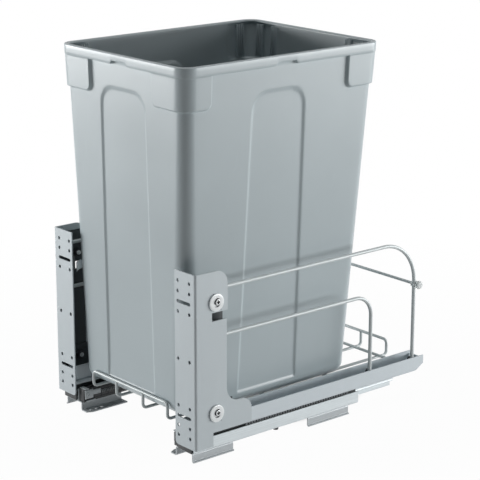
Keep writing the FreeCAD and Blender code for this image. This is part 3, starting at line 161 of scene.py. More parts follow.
def drawn_wire(name, rgb, roughness, metallic):
    """Drawn steel wire under a thin bright coat, with faint pitting."""
    m = Shader(name, roughness, metallic, Specular_IOR_Level=0.6)
    cloud = m.ramp(m.noise(55, 4.0), 0.3, 0.7)
    pit = m.ramp(m.noise(1900, 2.0), 0.35, 0.65)
    base = m.mix(cloud, shade(rgb, 0.93), shade(rgb, 1.05))
    m.color(m.mix(m.ramp(pit, 0.0, 1.0, 0.0, 0.25), base, shade(rgb, 0.85)))
    m.roughness(cloud, 0.0, 1.0, roughness - 0.04, roughness + 0.08)
    m.bump(pit, 0.005)
    return m.material


def moulded(name, rgb, roughness, grain_mm=0.012, **sockets):
    """Moulded plastic: fine spark grain, slow tone change and a few scuffs."""
    m = Shader(name, roughness, 0.0, **sockets)
    grain = m.noise(2100, 3.0)
    cloud = m.ramp(m.noise(6, 3.0), 0.3, 0.7)
    scuff = m.ramp(m.noise(75, 7.0, (1, 1, 0.3), 1.2), 0.64, 0.78, 0.0, 0.3)
    base = m.mix(cloud, shade(rgb, 0.97), shade(rgb, 1.02))
    base = m.mix(m.ramp(grain, 0.35, 0.65, 0.0, 0.2), base, shade(rgb, 0.93))
    m.color(m.mix(scuff, base, shade(rgb, 1.08)))
    m.roughness(cloud, 0.0, 1.0, roughness - 0.03, roughness + 0.05)
    m.bump(grain, grain_mm)
    return m.material


def dark_plastic(name, rgb, roughness):
    """Dark plastic or rubber with a coarse grain and paler worn patches."""
    m = Shader(name, roughness, 0.0, Specular_IOR_Level=0.5)
    grain = m.noise(1500, 3.0)
    wear = m.ramp(m.noise(60, 6.0, distortion=1.0), 0.55, 0.8, 0.0, 0.5)
    base = m.mix(m.ramp(grain, 0.35, 0.65), shade(rgb, 0.85), shade(rgb, 1.2))
    m.color(m.mix(wear, base, shade(rgb, 1.9)))
    m.roughness(wear, 0.0, 0.5, roughness, roughness + 0.15)
    m.bump(grain, 0.02)
    return m.material


MATERIALS = {
    "bracket_coat": coated_sheet("bracket_coat", (192, 201, 205), 0.42, 0.08),
    "channel_coat": coated_sheet("channel_coat", (206, 215, 220), 0.38, 0.08),
    "slide_zinc": zinc_sheet("slide_zinc", (222, 230, 233), 0.36, 0.2),
    "foot_zinc": zinc_sheet("foot_zinc", (188, 194, 197), 0.36, 0.15),
    "cage_steel": zinc_sheet("cage_steel", (96, 101, 104), 0.4, 0.3),
    "ball_steel": drawn_wire("ball_steel", (205, 208, 212), 0.12, 1.0),
    "damper_case": dark_plastic("damper_case", (50, 53, 55), 0.45),
    "damper_tube": drawn_wire("damper_tube", (150, 156, 158), 0.3, 0.3),
    "fastener_zinc": zinc_sheet("fastener_zinc", (236, 240, 241), 0.32, 0.15),
    "fastener_dark": zinc_sheet("fastener_dark", (70, 72, 76), 0.4, 0.3),
    "bumper_rubber": dark_plastic("bumper_rubber", (46, 46, 48), 0.7),
    "wire_chrome": drawn_wire("wire_chrome", (198, 205, 206), 0.4, 0.16),
    "clip_plastic": moulded("clip_plastic", (242, 245, 245), 0.4, Transmission_Weight=0.45, IOR=1.2),
    "bin_plastic": moulded("bin_plastic", (178, 190, 194), 0.3, IOR=1.5, Specular_IOR_Level=0.55),
    # painted shade: a dark zinc for the middle slide and its ball cage, which lie in shade between the
    # slides' members
    "painted_shade_zinc": zinc_sheet("painted_shade_zinc", (52, 57, 58), 0.42, 0.1),
    # painted shade: a dark coat for the posts, which lie in shade behind the brackets
    "painted_shade_sheet": coated_sheet("painted_shade_sheet", (62, 68, 71), 0.55, 0.0),
}

SLOT_OF = {
    "front_foot": "foot_zinc",
    "rear_foot": "foot_zinc",
    "foot_rivets": "fastener_zinc",
    "slide_bumpers": "bumper_rubber",
    "cabinet_slide": "slide_zinc",
    "middle_slide": "slide_zinc",
    "drawer_slide": "slide_zinc",
    "outer_ball_cage": "cage_steel",
    "inner_ball_cage": "cage_steel",
    "outer_balls": "ball_steel",
    "inner_balls": "ball_steel",
    "soft_close_case": "damper_case",
    "soft_close_catch": "damper_case",
    "damper_cylinder": "damper_tube",
    "damper_piston": "damper_tube",
    "catch_pin": "damper_tube",
    "side_channel": "channel_coat",
    "post": "channel_coat",
    "post_rivets": "fastener_zinc",
    "adjuster_screws": "fastener_zinc",
    "adjuster_nuts": "fastener_zinc",
    "upper_rail": "wire_chrome",
    "lower_rail": "wire_chrome",
    "rail_leg_screws": "fastener_dark",
    "rear_cross_wire": "wire_chrome",
    "wire_clip": "clip_plastic",
    "cradle_outer_loop": "wire_chrome",
    "cradle_middle_wire": "wire_chrome",
    "cradle_cross_wire_front": "wire_chrome",
    "cradle_cross_wire_second": "wire_chrome",
    "cradle_cross_wire_third": "wire_chrome",
    "cradle_cross_wire_rear": "wire_chrome",
    "door_bracket": "bracket_coat",
    "waste_bin": "bin_plastic",
}
# These look darker in the photograph than their slot because they lie in shade, so their finishes are
# painted shade: the middle slide and its ball cage in the gap between the slides' members, and the posts
# and their nuts behind the brackets.
FINISH_OF = {
    "middle_slide": "painted_shade_zinc",
    "outer_ball_cage": "painted_shade_zinc",
    "post": "painted_shade_sheet",
    # painted shade on the nuts behind the brackets: the dark fastener finish
    "adjuster_nuts": "fastener_dark",
}

for name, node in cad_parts.items():
    stem = name.removesuffix("_right").removesuffix("_left")
    node.data.materials.clear()
    node.data.materials.append(MATERIALS[FINISH_OF.get(stem, SLOT_OF[stem])])


# ---------------------------------------------------------------------------------------------
# Mesh helpers
# ---------------------------------------------------------------------------------------------


def add_piece(name, points, faces, body, slot, replaced=(), sharp=40):
    """A smooth-shaded mesh piece from points in metres, riding on a body."""
    mesh = bpy.data.meshes.new(name)
    mesh.from_pydata([tuple(point) for point in points], [], faces)
    mesh.update()
    mesh.shade_smooth()
    mesh.set_sharp_from_angle(angle=math.radians(sharp))
    mesh.materials.append(MATERIALS[slot])
    piece = bpy.data.objects.new(name, mesh)
    bpy.context.scene.collection.objects.link(piece)
    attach(piece, body)
    if replaced:
        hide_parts(*replaced)
    return piece


def smooth(distance, width):
    """0 outside a feature's edge, 1 inside it, over a soft width."""
    share = np.clip(np.asarray(distance, float) / width + 0.5, 0, 1)
    return share * share * (3 - 2 * share)


# ---------------------------------------------------------------------------------------------
# Bin
# ---------------------------------------------------------------------------------------------

WALL_FOOT, WALL_HEAD, BIN_TOP, BIN_BOTTOM = 67.0, 486.0, 498.6, 47.0
WALL_THICK, FLOOR_THICK, FOOT_ROUND = 2.4, 3.0, 16.0
# half width, front, rear and corner radius, at the wall's foot and head
OUTLINE_FOOT = np.array([110.0, 13.0, 298.0, 22.0])
OUTLINE_HEAD = np.array([125.5, 5.4, 325.0, 16.0])
PAD_HEIGHT, PAD_LOW, PAD_CORNER = 4.0, 444.0, 8.0
# where the features end on the front (x) and on the side walls (y), at the wall's foot and head
ARCH_X, PAD_X = (49.0, 44.5), (60.0, 64.5)
ARCH_Y, PAD_Y = ((102.0, 116.0), (199.0, 200.0)), ((46.0, 46.0), (264.0, 271.0))
# arched panels: their top, corner radius and foot, their depth, its soft edge, and how slowly the
# depth fades out at the foot
ARCH_TOP, ARCH_CORNER, ARCH_FOOT, ARCH_SINK, ARCH_SOFT, ARCH_FADE = 455.0, 24.0, 64.0, 1.9, 4.5, 0.12
# rim: how far it stands off the wall at its lower and upper edge, its rounding, and its notches
RIM_LOW, RIM_HIGH, RIM_ROUND = 4.55, 4.85, 1.1
NOTCH_RISE, NOTCH_HALF, SIDE_NOTCH = 4.0, 16.0, 165.0
# the rim's top, from outside in: how far off the wall's outer face, and how far below the bin's top
RIM_TOP = (
    (2.9, 0.05), (2.4, 0.5), (1.0, 0.6), (0.2, 0.5), (-0.5, 0.15), (-1.0, 0.0), (-1.7, 0.2),
    (-2.2, 0.7), (-2.4, 1.4),
)
# hollows behind the pads: how far in from a pad's edge each step starts, its depth, and their top
HOLLOW_STARTS, HOLLOW_STEP, HOLLOW_TOP = (10.0, 24.0), 1.6, 495.0
# the underside and the floor inside: their rings' share of the outline, and their rise
UNDERSIDE = ((0.12, 1.6), (0.5, 1.6), (0.84, 1.6), (0.87, 0.4), (0.9, 0.0))
INSIDE_FLOOR = ((0.9, 0.0), (0.87, 0.3), (0.84, 1.2), (0.5, 1.2), (0.12, 1.2))
ROUND_STEPS = 8

# Upright mesh lines: their place on each wall at the wall's head, with knots that follow the taper.
FRONT_HALF_LINES = [
    0, 5, 10, 15.2, 16, 16.8, 20, 24.5, 27, 29.5, 32, 34.5, 37, 39, 40.5, 42, 43.2, 44.5, 45.8, 47,
    48.5, 51, 56, 61, 62.8, 63.6, 64.1, 64.5, 64.9, 65.4, 66.2, 67.2, 68.4, 69.8, 71.4, 73.5, 78,
    86, 95, 103, 109.5,
]
SIDE_LINES = [
    21.4, 28, 34, 37.5, 39.5, 41.3, 42.8, 44, 44.9, 45.5, 46, 46.4, 47, 48, 50, 58, 68, 78, 88, 98,
    106, 110, 112, 113.5, 114.8, 116, 117.2, 118.6, 120.5, 123, 126, 129, 132, 136, 142, 147.7,
    148.5, 149.3, 155, 162, 170, 176, 180.7, 181.5, 182.3, 186, 190, 193, 195.5, 197.5, 199, 200,
    201, 202.5, 204.5, 208, 215, 225, 235, 245, 255, 263, 267.5, 269.5, 270.2, 270.7, 271, 271.4,
    272, 273, 274.3, 276, 278, 280, 283, 290, 300, 309,
]
CORNER_STEPS = 14
# sideways distances for a wall or corner that lies wholly inside or outside a feature
INSIDE, OUTSIDE = 99.0, -99.0


def wall_state(share):
    """The outline and the features' side places at a share of the wall's height."""
    half, front, rear, corner = OUTLINE_FOOT + share * (OUTLINE_HEAD - OUTLINE_FOOT)

    def place(foot, head):
        return foot + share * (head - foot)

    return {
        "half": half, "front": front, "rear": rear, "corner": corner,
        "arch_x": place(*ARCH_X),
        "pad_x": place(*PAD_X),
        "arch_y": [place(*ends) for ends in ARCH_Y],
        "pad_y": [place(*ends) for ends in PAD_Y],
    }


def ring_lines(share):
    """Each upright line of the bin at a share of the wall's height.

    Gives the points in plan, their outward normals, and the depth inside an arch, a pad and a rim
    notch, each measured sideways along the wall.
    """
    state = wall_state(share)
    half, front, rear, corner = (state[key] for key in ("half", "front", "rear", "corner"))
    flat = half - corner
    top = wall_state(1)
    knots_x = [0, top["arch_x"], top["pad_x"], top["half"] - top["corner"]]
    here_x = [0, state["arch_x"], state["pad_x"], flat]
    lines = np.interp(FRONT_HALF_LINES, knots_x, here_x)
    across = np.concatenate([-lines[:0:-1], lines])

    def side_knots(at):
        near_pad, far_pad = at["pad_y"]
        return [at["front"] + at["corner"], near_pad, *at["arch_y"], far_pad, at["rear"] - at["corner"]]

    knots_y, here_y = side_knots(top), side_knots(state)
    along = np.interp(SIDE_LINES, knots_y, here_y)
    parts = []

    def wall_x(x, y, sign):
        ones = np.ones_like(x)
        sideways = {
            "arch": state["arch_x"] - abs(x),
            "pad": abs(x) - state["pad_x"],
            "notch": NOTCH_HALF - abs(x),
        }
        parts.append((x, y * ones, 0 * ones, sign * ones, sideways))

    def wall_y(x, y, sign):
        ones = np.ones_like(y)
        low, high = state["arch_y"]
        near_pad, far_pad = state["pad_y"]
        sideways = {
            "arch": np.minimum(y - low, high - y),
            "pad": np.maximum(near_pad - y, y - far_pad),
            "notch": NOTCH_HALF + 0.5 - abs(y - SIDE_NOTCH),
        }
        parts.append((x * ones, y, sign * ones, 0 * ones, sideways))

    def turn(x, y, start):
        angle = np.radians(start + 90 * np.arange(1, CORNER_STEPS) / CORNER_STEPS)
        c, s = np.cos(angle), np.sin(angle)
        inside, outside = np.full_like(angle, INSIDE), np.full_like(angle, OUTSIDE)
        sideways = {"arch": outside, "pad": inside, "notch": outside}
        parts.append((x + corner * c, y + corner * s, c, s, sideways))

    wall_x(across, front, -1)
    turn(flat, front + corner, -90)
    wall_y(half, along, 1)
    turn(flat, rear - corner, 0)
    wall_x(across[::-1], rear, 1)
    turn(-flat, rear - corner, 90)
    wall_y(-half, along[::-1], -1)
    turn(-flat, front + corner, 180)
    x, y, nx, ny = (np.concatenate([part[k] for part in parts]) for k in range(4))
    sideways = {key: np.concatenate([part[4][key] for part in parts]) for key in parts[0][4]}
    return x, y, nx, ny, sideways


def arch_depth(sideways, height):
    """Distance inside an arched panel: straight sides, rounded upper corners, open at its foot."""
    beside = np.maximum(ARCH_CORNER - sideways, 0)
    above = np.maximum(ARCH_CORNER - (ARCH_TOP - height), 0)
    return np.minimum(ARCH_CORNER - np.hypot(beside, above), (height - ARCH_FOOT) * ARCH_FADE)


def pad_depth(sideways, height, low=PAD_LOW):
    """Distance inside a corner pad: straight sides, rounded lower corner, open at its top."""
    beside = np.maximum(PAD_CORNER - sideways, 0)
    below = np.maximum(PAD_CORNER - (height - low), 0)
    return PAD_CORNER - np.hypot(beside, below)


def bin_mesh():
    """The bin as closed rings, from its underside's middle, over the rim, to its floor inside."""
    rings = []
    middle = (OUTLINE_FOOT[1] + OUTLINE_FOOT[2]) / 2
    floor = BIN_BOTTOM + FLOOR_THICK

    def ring(height, share, grow, scale=1.0):
        x, y, nx, ny, _ = ring_lines(share)
        x, y = x + grow * nx, y + grow * ny
        x, y = x * scale, middle + (y - middle) * scale
        z = np.broadcast_to(np.asarray(height, float), x.shape)
        rings.append(np.stack([x, y, z], axis=1))

    # underside, then the rounding up to the wall
    for scale, rise in UNDERSIDE:
        ring(BIN_BOTTOM + rise, 0, -FOOT_ROUND, scale)
    for step in range(ROUND_STEPS + 1):
        angle = math.pi / 2 * step / ROUND_STEPS
        ring(BIN_BOTTOM + FOOT_ROUND * (1 - math.cos(angle)), 0, FOOT_ROUND * (math.sin(angle) - 1))

    def share_at(height, head=WALL_HEAD):
        return min(max((height - WALL_FOOT) / (head - WALL_FOOT), 0), 1)

    def outer_grow(height):
        side = ring_lines(share_at(height))[4]
        arch = ARCH_SINK * smooth(arch_depth(side["arch"], height), ARCH_SOFT)
        pad = PAD_HEIGHT * smooth(pad_depth(side["pad"], height), 1.8)
        return pad - arch

    levels = [
        65, 67, 70, 76, 84, 96, 110, 126, 144, 162, 180, 200, 220, 240, 260, 280, 300, 320, 340, 360,
        380, 400, 415, 425, 432, 436, 438.5, 441, 442.4, 443.2, 443.7, 444.1, 444.6, 445.3, 446.3,
        447.5, 449, 451, 453, 454.5, 456, 457.2, 458.4, 459.6, 461, 464, 470, 477, 482, 484.2,
    ]
    for height in levels:
        ring(height, share_at(height), outer_grow(height))

    # rim: its lower edge rises over a short notch in the middle of each wall
    side = ring_lines(1)[4]
    lower_edge = WALL_HEAD + NOTCH_RISE * smooth(side["notch"], 1.0)
    wall = outer_grow(WALL_HEAD)
    ring(lower_edge - 0.5, 1, wall)
    ring(lower_edge - 0.05, 1, np.maximum(wall, 0) + 0.15)
    ring(lower_edge, 1, RIM_LOW - 0.35)
    ring(lower_edge + 0.12, 1, RIM_LOW - 0.1)
    ring(lower_edge + 0.45, 1, RIM_LOW)
    for lift in (0.35, 0.7):
        ring(lower_edge + (BIN_TOP - 2.2 - lower_edge) * lift, 1, RIM_LOW + (RIM_HIGH - RIM_LOW) * lift)
    for step in range(6):
        angle = math.pi / 2 * step / 5
        ring(BIN_TOP - RIM_ROUND * (1 - math.sin(angle)), 1, RIM_HIGH - RIM_ROUND * (1 - math.cos(angle)))
    for grow, drop in RIM_TOP:
        ring(BIN_TOP - drop, 1, grow)

    # inside: the same wall, with stepped hollows behind the pads
    def inner_grow(height):
        side = ring_lines(share_at(height, BIN_TOP))[4]
        arch = ARCH_SINK * smooth(arch_depth(side["arch"], height), ARCH_SOFT)
        hollow = sum(
            HOLLOW_STEP * smooth(pad_depth(side["pad"] - start, height, PAD_LOW + 2.0), HOLLOW_STEP)
            for start in HOLLOW_STARTS
        )
        return -WALL_THICK - arch + hollow * smooth(HOLLOW_TOP - height, 2.0)

    inner_levels = [
        496.4, 495.6, 494.8, 494, 492, 486, 478, 470, 464, 461, 459.6, 458.4, 457.2, 456, 454.5, 453,
        451, 449.5, 448.5, 447.6, 446.8, 446.1, 445.4, 444.6, 443.5, 441, 438.5, 436, 432, 425, 415,
        400, 370, 340, 310, 280, 240, 200, 160, 120, 84, 70, 67,
    ]
    for height in inner_levels:
        ring(height, share_at(height, BIN_TOP), inner_grow(height))
    inside_round = FOOT_ROUND - FLOOR_THICK
    for step in range(ROUND_STEPS, -1, -1):
        angle = math.pi / 2 * step / ROUND_STEPS
        rise, grow = inside_round * (1 - math.cos(angle)), inside_round * (math.sin(angle) - 1)
        ring(floor + rise, 0, grow - WALL_THICK)
    for scale, rise in INSIDE_FLOOR:
        ring(floor + rise, 0, -WALL_THICK - inside_round, scale)

    count = len(rings[0])
    points = np.concatenate(rings)
    faces = []
    for level in range(len(rings) - 1):
        low, high = level * count, (level + 1) * count
        for i in range(count):
            j = (i + 1) % count
            faces.append((low + i, low + j, high + j, high + i))
    under, over = len(points), len(points) + 1
    middles = [[0, middle, BIN_BOTTOM + UNDERSIDE[0][1]], [0, middle, floor + INSIDE_FLOOR[-1][1]]]
    points = np.concatenate([points, middles])
    last = (len(rings) - 1) * count
    for i in range(count):
        j = (i + 1) % count
        faces.append((under, j, i))
        faces.append((over, last + i, last + j))
    return [spot(*point) for point in points], faces


bin_points, bin_faces = bin_mesh()
add_piece("bin_tub", bin_points, bin_faces, "bin", "bin_plastic", ("waste_bin",), sharp=60)


# ---------------------------------------------------------------------------------------------
# Helpers for small parts
# ---------------------------------------------------------------------------------------------


def rows_of_faces(rows, steps):
    """Faces of a closed solid made of rings of points, with a flat face on either end."""
    faces = []
    for low in range(0, (rows - 1) * steps, steps):
        high = low + steps
        for step in range(steps):
            after = (step + 1) % steps
            faces.append((low + step, low + after, high + after, high + step))
    faces.append(tuple(range(steps))[::-1])
    faces.append(tuple((rows - 1) * steps + step for step in range(steps)))
    return faces


def mirrored(low, high, sign):
    """A box's corners, given for the right side, on either side."""
    xs = sorted((sign * low[0], sign * high[0]))
    return (xs[0], *low[1:]), (xs[1], *high[1:])


class Parts:
    """Collects closed solids in millimetres for one mesh piece."""

    def __init__(self):
        self.points, self.faces = [], []

    def add(self, points, faces):
        start = len(self.points)
        self.points += [tuple(point) for point in points]
        self.faces += [tuple(start + k for k in face) for face in faces]

    def block(self, low, high, radius, segments=3):
        """A block with rounded edges."""
        mesh = bmesh.new()
        bmesh.ops.create_cube(mesh, size=1.0)
        low, high = np.array(low, float), np.array(high, float)
        for vert in mesh.verts:
            vert.co = Vector((low + high) / 2 + np.array(vert.co) * (high - low))
        bmesh.ops.bevel(
            mesh, geom=mesh.edges[:], offset=radius, segments=segments, profile=0.5, affect="EDGES"
        )
        mesh.verts.index_update()
        faces = [[vert.index for vert in face.verts] for face in mesh.faces]
        self.add([vert.co[:] for vert in mesh.verts], faces)
        mesh.free()

    def lathe(self, profile, start, axis, steps=40):
        """A closed turned solid: profile is (distance along the axis, radius) from end to end."""
        axis = Vector(axis).normalized()
        side = axis.orthogonal().normalized()
        across = axis.cross(side)
        points = []
        for reach, radius in profile:
            for step in range(steps):
                turn = 2 * math.pi * step / steps
                spoke = side * math.cos(turn) + across * math.sin(turn)
                points.append(Vector(start) + axis * reach + radius * spoke)
        self.add(points, rows_of_faces(len(profile), steps))

    def tube(self, path, radius, steps=10):
        """A round bar along a list of points, closed at both ends."""
        path = [Vector(point) for point in path]
        points = []
        side = (path[1] - path[0]).orthogonal().normalized()
        for index, here in enumerate(path):
            along = (path[min(index + 1, len(path) - 1)] - path[max(index - 1, 0)]).normalized()
            side = (side - along * side.dot(along)).normalized()
            across = along.cross(side)
            for step in range(steps):
                turn = 2 * math.pi * step / steps
                points.append(here + radius * (side * math.cos(turn) + across * math.sin(turn)))
        self.add(points, rows_of_faces(len(path), steps))

    def piece(self, name, body, slot, replaced=(), sharp=35):
        points = [spot(*point) for point in self.points]
        return add_piece(name, points, self.faces, body, slot, replaced, sharp)


# ---------------------------------------------------------------------------------------------
# Adjuster screws: a dished washer with a cross-recessed screw in it, on each bracket's outer face
# ---------------------------------------------------------------------------------------------

# each screw's height and where its shank ends, at this distance behind the door's plane
ADJUSTERS, ADJUSTER_DEPTH = ((209.0, 139.9), (64.0, 138.3)), 32.9
WASHER_FACE, SHANK_RADIUS = 152.2, 3.0
DISH_RADIUS, DISH_DEPTH = 5.7, 2.0
# the screw's head sits off the dish's middle, so that its edge leaves a crescent open
HEAD_RADIUS, HEAD_SHIFT, HEAD_RISE, HEAD_CURVE = 4.3, 2.2, 2.3, 0.04
ARM_REACH, ARM_HALF, CROSS_DEPTH = 2.3, 0.8, 1.9
CROWN_RADIUS, CROWN_DROP = 10.2, 0.25
# what lies this far below the washer's face, inside the dish, gets painted shade
PAINTED_SHADE_FROM, PAINTED_SHADE_TO = 0.3, 2.1
# rings of the face: fine over the recess and the washer's edge
FACE_RADII = [
    *np.arange(0.2, 2.9, 0.2), *np.arange(3.0, 7.0, 0.25), 7.4, 8.2, 9.0, 9.6, 10.1, 10.5, 10.8, 11.0,
    11.2,
]
FACE_STEPS = 96


def screw_face(across, up):
    """How far the face stands out of the washer's flat face, at a place in it (mm)."""
    radius = math.hypot(across, up)
    off = math.hypot(across - HEAD_SHIFT, up)
    dish = -DISH_DEPTH * float(smooth(DISH_RADIUS - radius, 0.4))
    head = (HEAD_RISE - HEAD_CURVE * off * off) * float(smooth(HEAD_RADIUS - off, 0.4))
    u, v = abs(across - HEAD_SHIFT), abs(up)
    arm = max(min(ARM_REACH - u, ARM_HALF - v), min(ARM_REACH - v, ARM_HALF - u))
    cross = -CROSS_DEPTH * float(smooth(arm, 0.25))
    crown = -CROWN_DROP * float(smooth(radius - CROWN_RADIUS, 1.4))
    return min(dish + head, 0.0) + cross + crown


def adjuster(parts, sign, height, shank_end):
    """One closed solid: face, washer's edge and back, and shank."""
    turns = [2 * math.pi * step / FACE_STEPS for step in range(FACE_STEPS)]
    points = []
    for radius in FACE_RADII:
        for turn in turns:
            across, up = radius * math.cos(turn), radius * math.sin(turn)
            x = WASHER_FACE + screw_face(across, up)
            points.append((sign * x, ADJUSTER_DEPTH + across, height + up))
    behind = [
        (151.7, 11.3), (150.45, 11.3), (150.3, 11.1), (150.3, SHANK_RADIUS),
        (shank_end + 0.5, SHANK_RADIUS), (shank_end, SHANK_RADIUS - 0.5),
    ]
    for x, radius in behind:
        for turn in turns:
            across, up = radius * math.cos(turn), radius * math.sin(turn)
            points.append((sign * x, ADJUSTER_DEPTH + across, height + up))
    middle, end = len(points), len(points) + 1
    points.append((sign * (WASHER_FACE + screw_face(0.0, 0.0)), ADJUSTER_DEPTH, height))
    points.append((sign * shank_end, ADJUSTER_DEPTH, height))

    faces = []
    last = (len(FACE_RADII) + len(behind) - 1) * FACE_STEPS
    for low in range(0, last, FACE_STEPS):
        high = low + FACE_STEPS
        for step in range(FACE_STEPS):
            after = (step + 1) % FACE_STEPS
            faces.append((low + step, high + step, high + after, low + after))
    for step in range(FACE_STEPS):
        after = (step + 1) % FACE_STEPS
        faces.append((middle, step, after))
        faces.append((end, last + after, last + step))
    parts.add(points, faces if sign > 0 else [face[::-1] for face in faces])


def paint_recess_shade(washers):
    """Paints shade on the dish and the cross recess of each screw, as a dark finish on their faces."""
    middles = [spot(0, ADJUSTER_DEPTH, height) for height, _ in ADJUSTERS]
    # painted shade in the recess: the dark fastener finish
    washers.data.materials.append(MATERIALS["fastener_dark"])
    for face in washers.data.polygons:
        sunk = WASHER_FACE - abs(face.center.x) / MM
        off = min(math.hypot(face.center.y - at.y, face.center.z - at.z) for at in middles) / MM
        if PAINTED_SHADE_FROM < sunk < PAINTED_SHADE_TO and off < DISH_RADIUS:
            face.material_index = 1


def adjuster_washers(side, sign):
    screws = Parts()
    for height, shank_end in ADJUSTERS:
        adjuster(screws, sign, height, shank_end)
    name, replaced = f"adjuster_washers_{side}", (f"adjuster_screws_{side}",)
    paint_recess_shade(screws.piece(name, "carriage", "fastener_zinc", replaced, sharp=50))


# ---------------------------------------------------------------------------------------------
# Cross wire's sleeves, leaves behind the relief notches, and front stops
# ---------------------------------------------------------------------------------------------

CROSS_WIRE = (390.0, 161.0)
SLEEVE_START = 138.2
# along the wire from the inner end: a flange, a neck, a second flange and a domed end
SLEEVE_PROFILE = [
    (0, 3.6), (0.25, 4.7), (0.8, 5.4), (1.6, 5.6), (2.6, 5.5), (3.2, 4.9), (3.8, 4.5), (5.6, 4.4),
    (8.0, 4.4), (9.2, 4.6), (9.9, 5.2), (10.6, 5.6), (12.2, 5.6), (13.0, 5.2), (13.4, 4.4),
    (13.6, 3.0), (13.45, 1.2), (13.4, 0.4),
]
LEAF_FRONT, LEAF_REAR, LEAF_LOW, LEAF_HIGH = 25.2, 45.2, 184.2, 196.8
LEAF_FACE, LEAF_THICK, LEAF_TURN, LEAF_STEPS = 147.7, 0.9, 58.0, 14


def cross_wire_sleeve(side, sign):
    """The clip as a grooved translucent sleeve on the cross wire's end."""
    sleeve = Parts()
    sleeve.lathe(SLEEVE_PROFILE, (sign * SLEEVE_START, *CROSS_WIRE), (sign, 0, 0), 48)
    sleeve.piece(f"cross_wire_sleeve_{side}", "carriage", "clip_plastic", (f"wire_clip_{side}",))


def post_leaf(side, sign):
    """A bent leaf, with painted shade on its outer side, that closes the post's opening behind the relief
    notch.
    """
    run = (LEAF_REAR - LEAF_FRONT) / LEAF_STEPS
    outer, reach = [], LEAF_FACE
    for step in range(LEAF_STEPS + 1):
        outer.append((sign * reach, LEAF_REAR - step * run))
        reach -= math.tan(math.radians(LEAF_TURN * step / LEAF_STEPS)) * run
    section = outer + [(x - sign * LEAF_THICK, y + 0.3) for x, y in outer[::-1]]
    count = len(section)
    points = [(x, y, z) for z in (LEAF_LOW, LEAF_HIGH) for x, y in section]
    faces = [(k, count + k, count + (k + 1) % count, (k + 1) % count) for k in range(count)]
    for k in range(LEAF_STEPS):
        far = count - 1 - k
        faces.append((k, k + 1, far - 1, far))
        faces.append((count + far, count + far - 1, count + k + 1, count + k))
    leaf = Parts()
    leaf.add(points, faces if sign > 0 else [face[::-1] for face in faces])
    plate = leaf.piece(f"post_leaf_{side}", "carriage", "channel_coat").data
    # painted shade: the leaf's outer faces take the dark post coat
    plate.materials.append(MATERIALS["painted_shade_sheet"])
    for face in plate.polygons:
        face.material_index = int(face.normal.x * sign > 0.3)


def drawer_front_stop(side, sign):
    """A dark stop that closes the drawer member's front end."""
    stop = Parts()
    stop.block(*mirrored((111, 2.1, 13.0), (138, 4.3, 23.5), sign), 0.7)
    stop.block(*mirrored((116, 3.2, 15.0), (133, 4.4, 22.0), sign), 0.5)
    stop.piece(f"drawer_front_stop_{side}", "carriage", "damper_case")


for side, sign in SIDES.items():
    adjuster_washers(side, sign)
    cross_wire_sleeve(side, sign)
    post_leaf(side, sign)
    drawer_front_stop(side, sign)


# ---------------------------------------------------------------------------------------------
# Ribs inside the bin's upper corners
# ---------------------------------------------------------------------------------------------

# pairs of ribs at these places along the side walls and the rear wall
SIDE_RIBS, REAR_RIBS = (34, 41, 297, 304), (70, 77, 100, 107)
RIB_LOW, RIB_HIGH, RIB_GAP, RIB_HALF = 449, 494, 1.6, 0.7
RIB_OUT, RIB_ROOT, RIB_EDGE = 2.2, 3.0, 0.45


def inner_ribs():
    side_draft, _, rear_draft, _ = (OUTLINE_HEAD - OUTLINE_FOOT) / (BIN_TOP - WALL_FOOT)
    side_face, _, rear_face, _ = OUTLINE_HEAD - WALL_THICK
    ribs = Parts()

    def rib(low, high, lean_x, lean_y):
        """A block between two corners, leaned with its wall."""
        start = len(ribs.points)
        ribs.block(low, high, RIB_EDGE, 2)
        for index in range(start, len(ribs.points)):
            x, y, z = ribs.points[index]
            drop = BIN_TOP - z
            ribs.points[index] = (x - lean_x * drop, y - lean_y * drop, z)

    for at in SIDE_RIBS:
        for sign in (-1, 1):
            for middle in (at - RIB_GAP, at + RIB_GAP):
                low = (side_face - RIB_OUT, middle - RIB_HALF, RIB_LOW)
                high = (side_face + RIB_ROOT, middle + RIB_HALF, RIB_HIGH)
                rib(*mirrored(low, high, sign), sign * side_draft, 0)
    for at in REAR_RIBS:
        for sign in (-1, 1):
            for middle in (sign * at - RIB_GAP, sign * at + RIB_GAP):
                low = (middle - RIB_HALF, rear_face - RIB_OUT, RIB_LOW)
                high = (middle + RIB_HALF, rear_face + RIB_ROOT, RIB_HIGH)
                rib(low, high, 0, rear_draft)
    ribs.piece("bin_inner_ribs", "bin", "bin_plastic")


inner_ribs()


# ---------------------------------------------------------------------------------------------
# Soft-close units
# ---------------------------------------------------------------------------------------------

CASE_IN, CASE_OUT, CASE_LOW, CASE_HIGH, CASE_FRONT, CASE_REAR = 98.6, 109.0, 12.5, 31.0, 6.0, 114.0
SPRING_TURNS, SPRING_RISE, SPRING_STEPS = 12, 0.16, 16


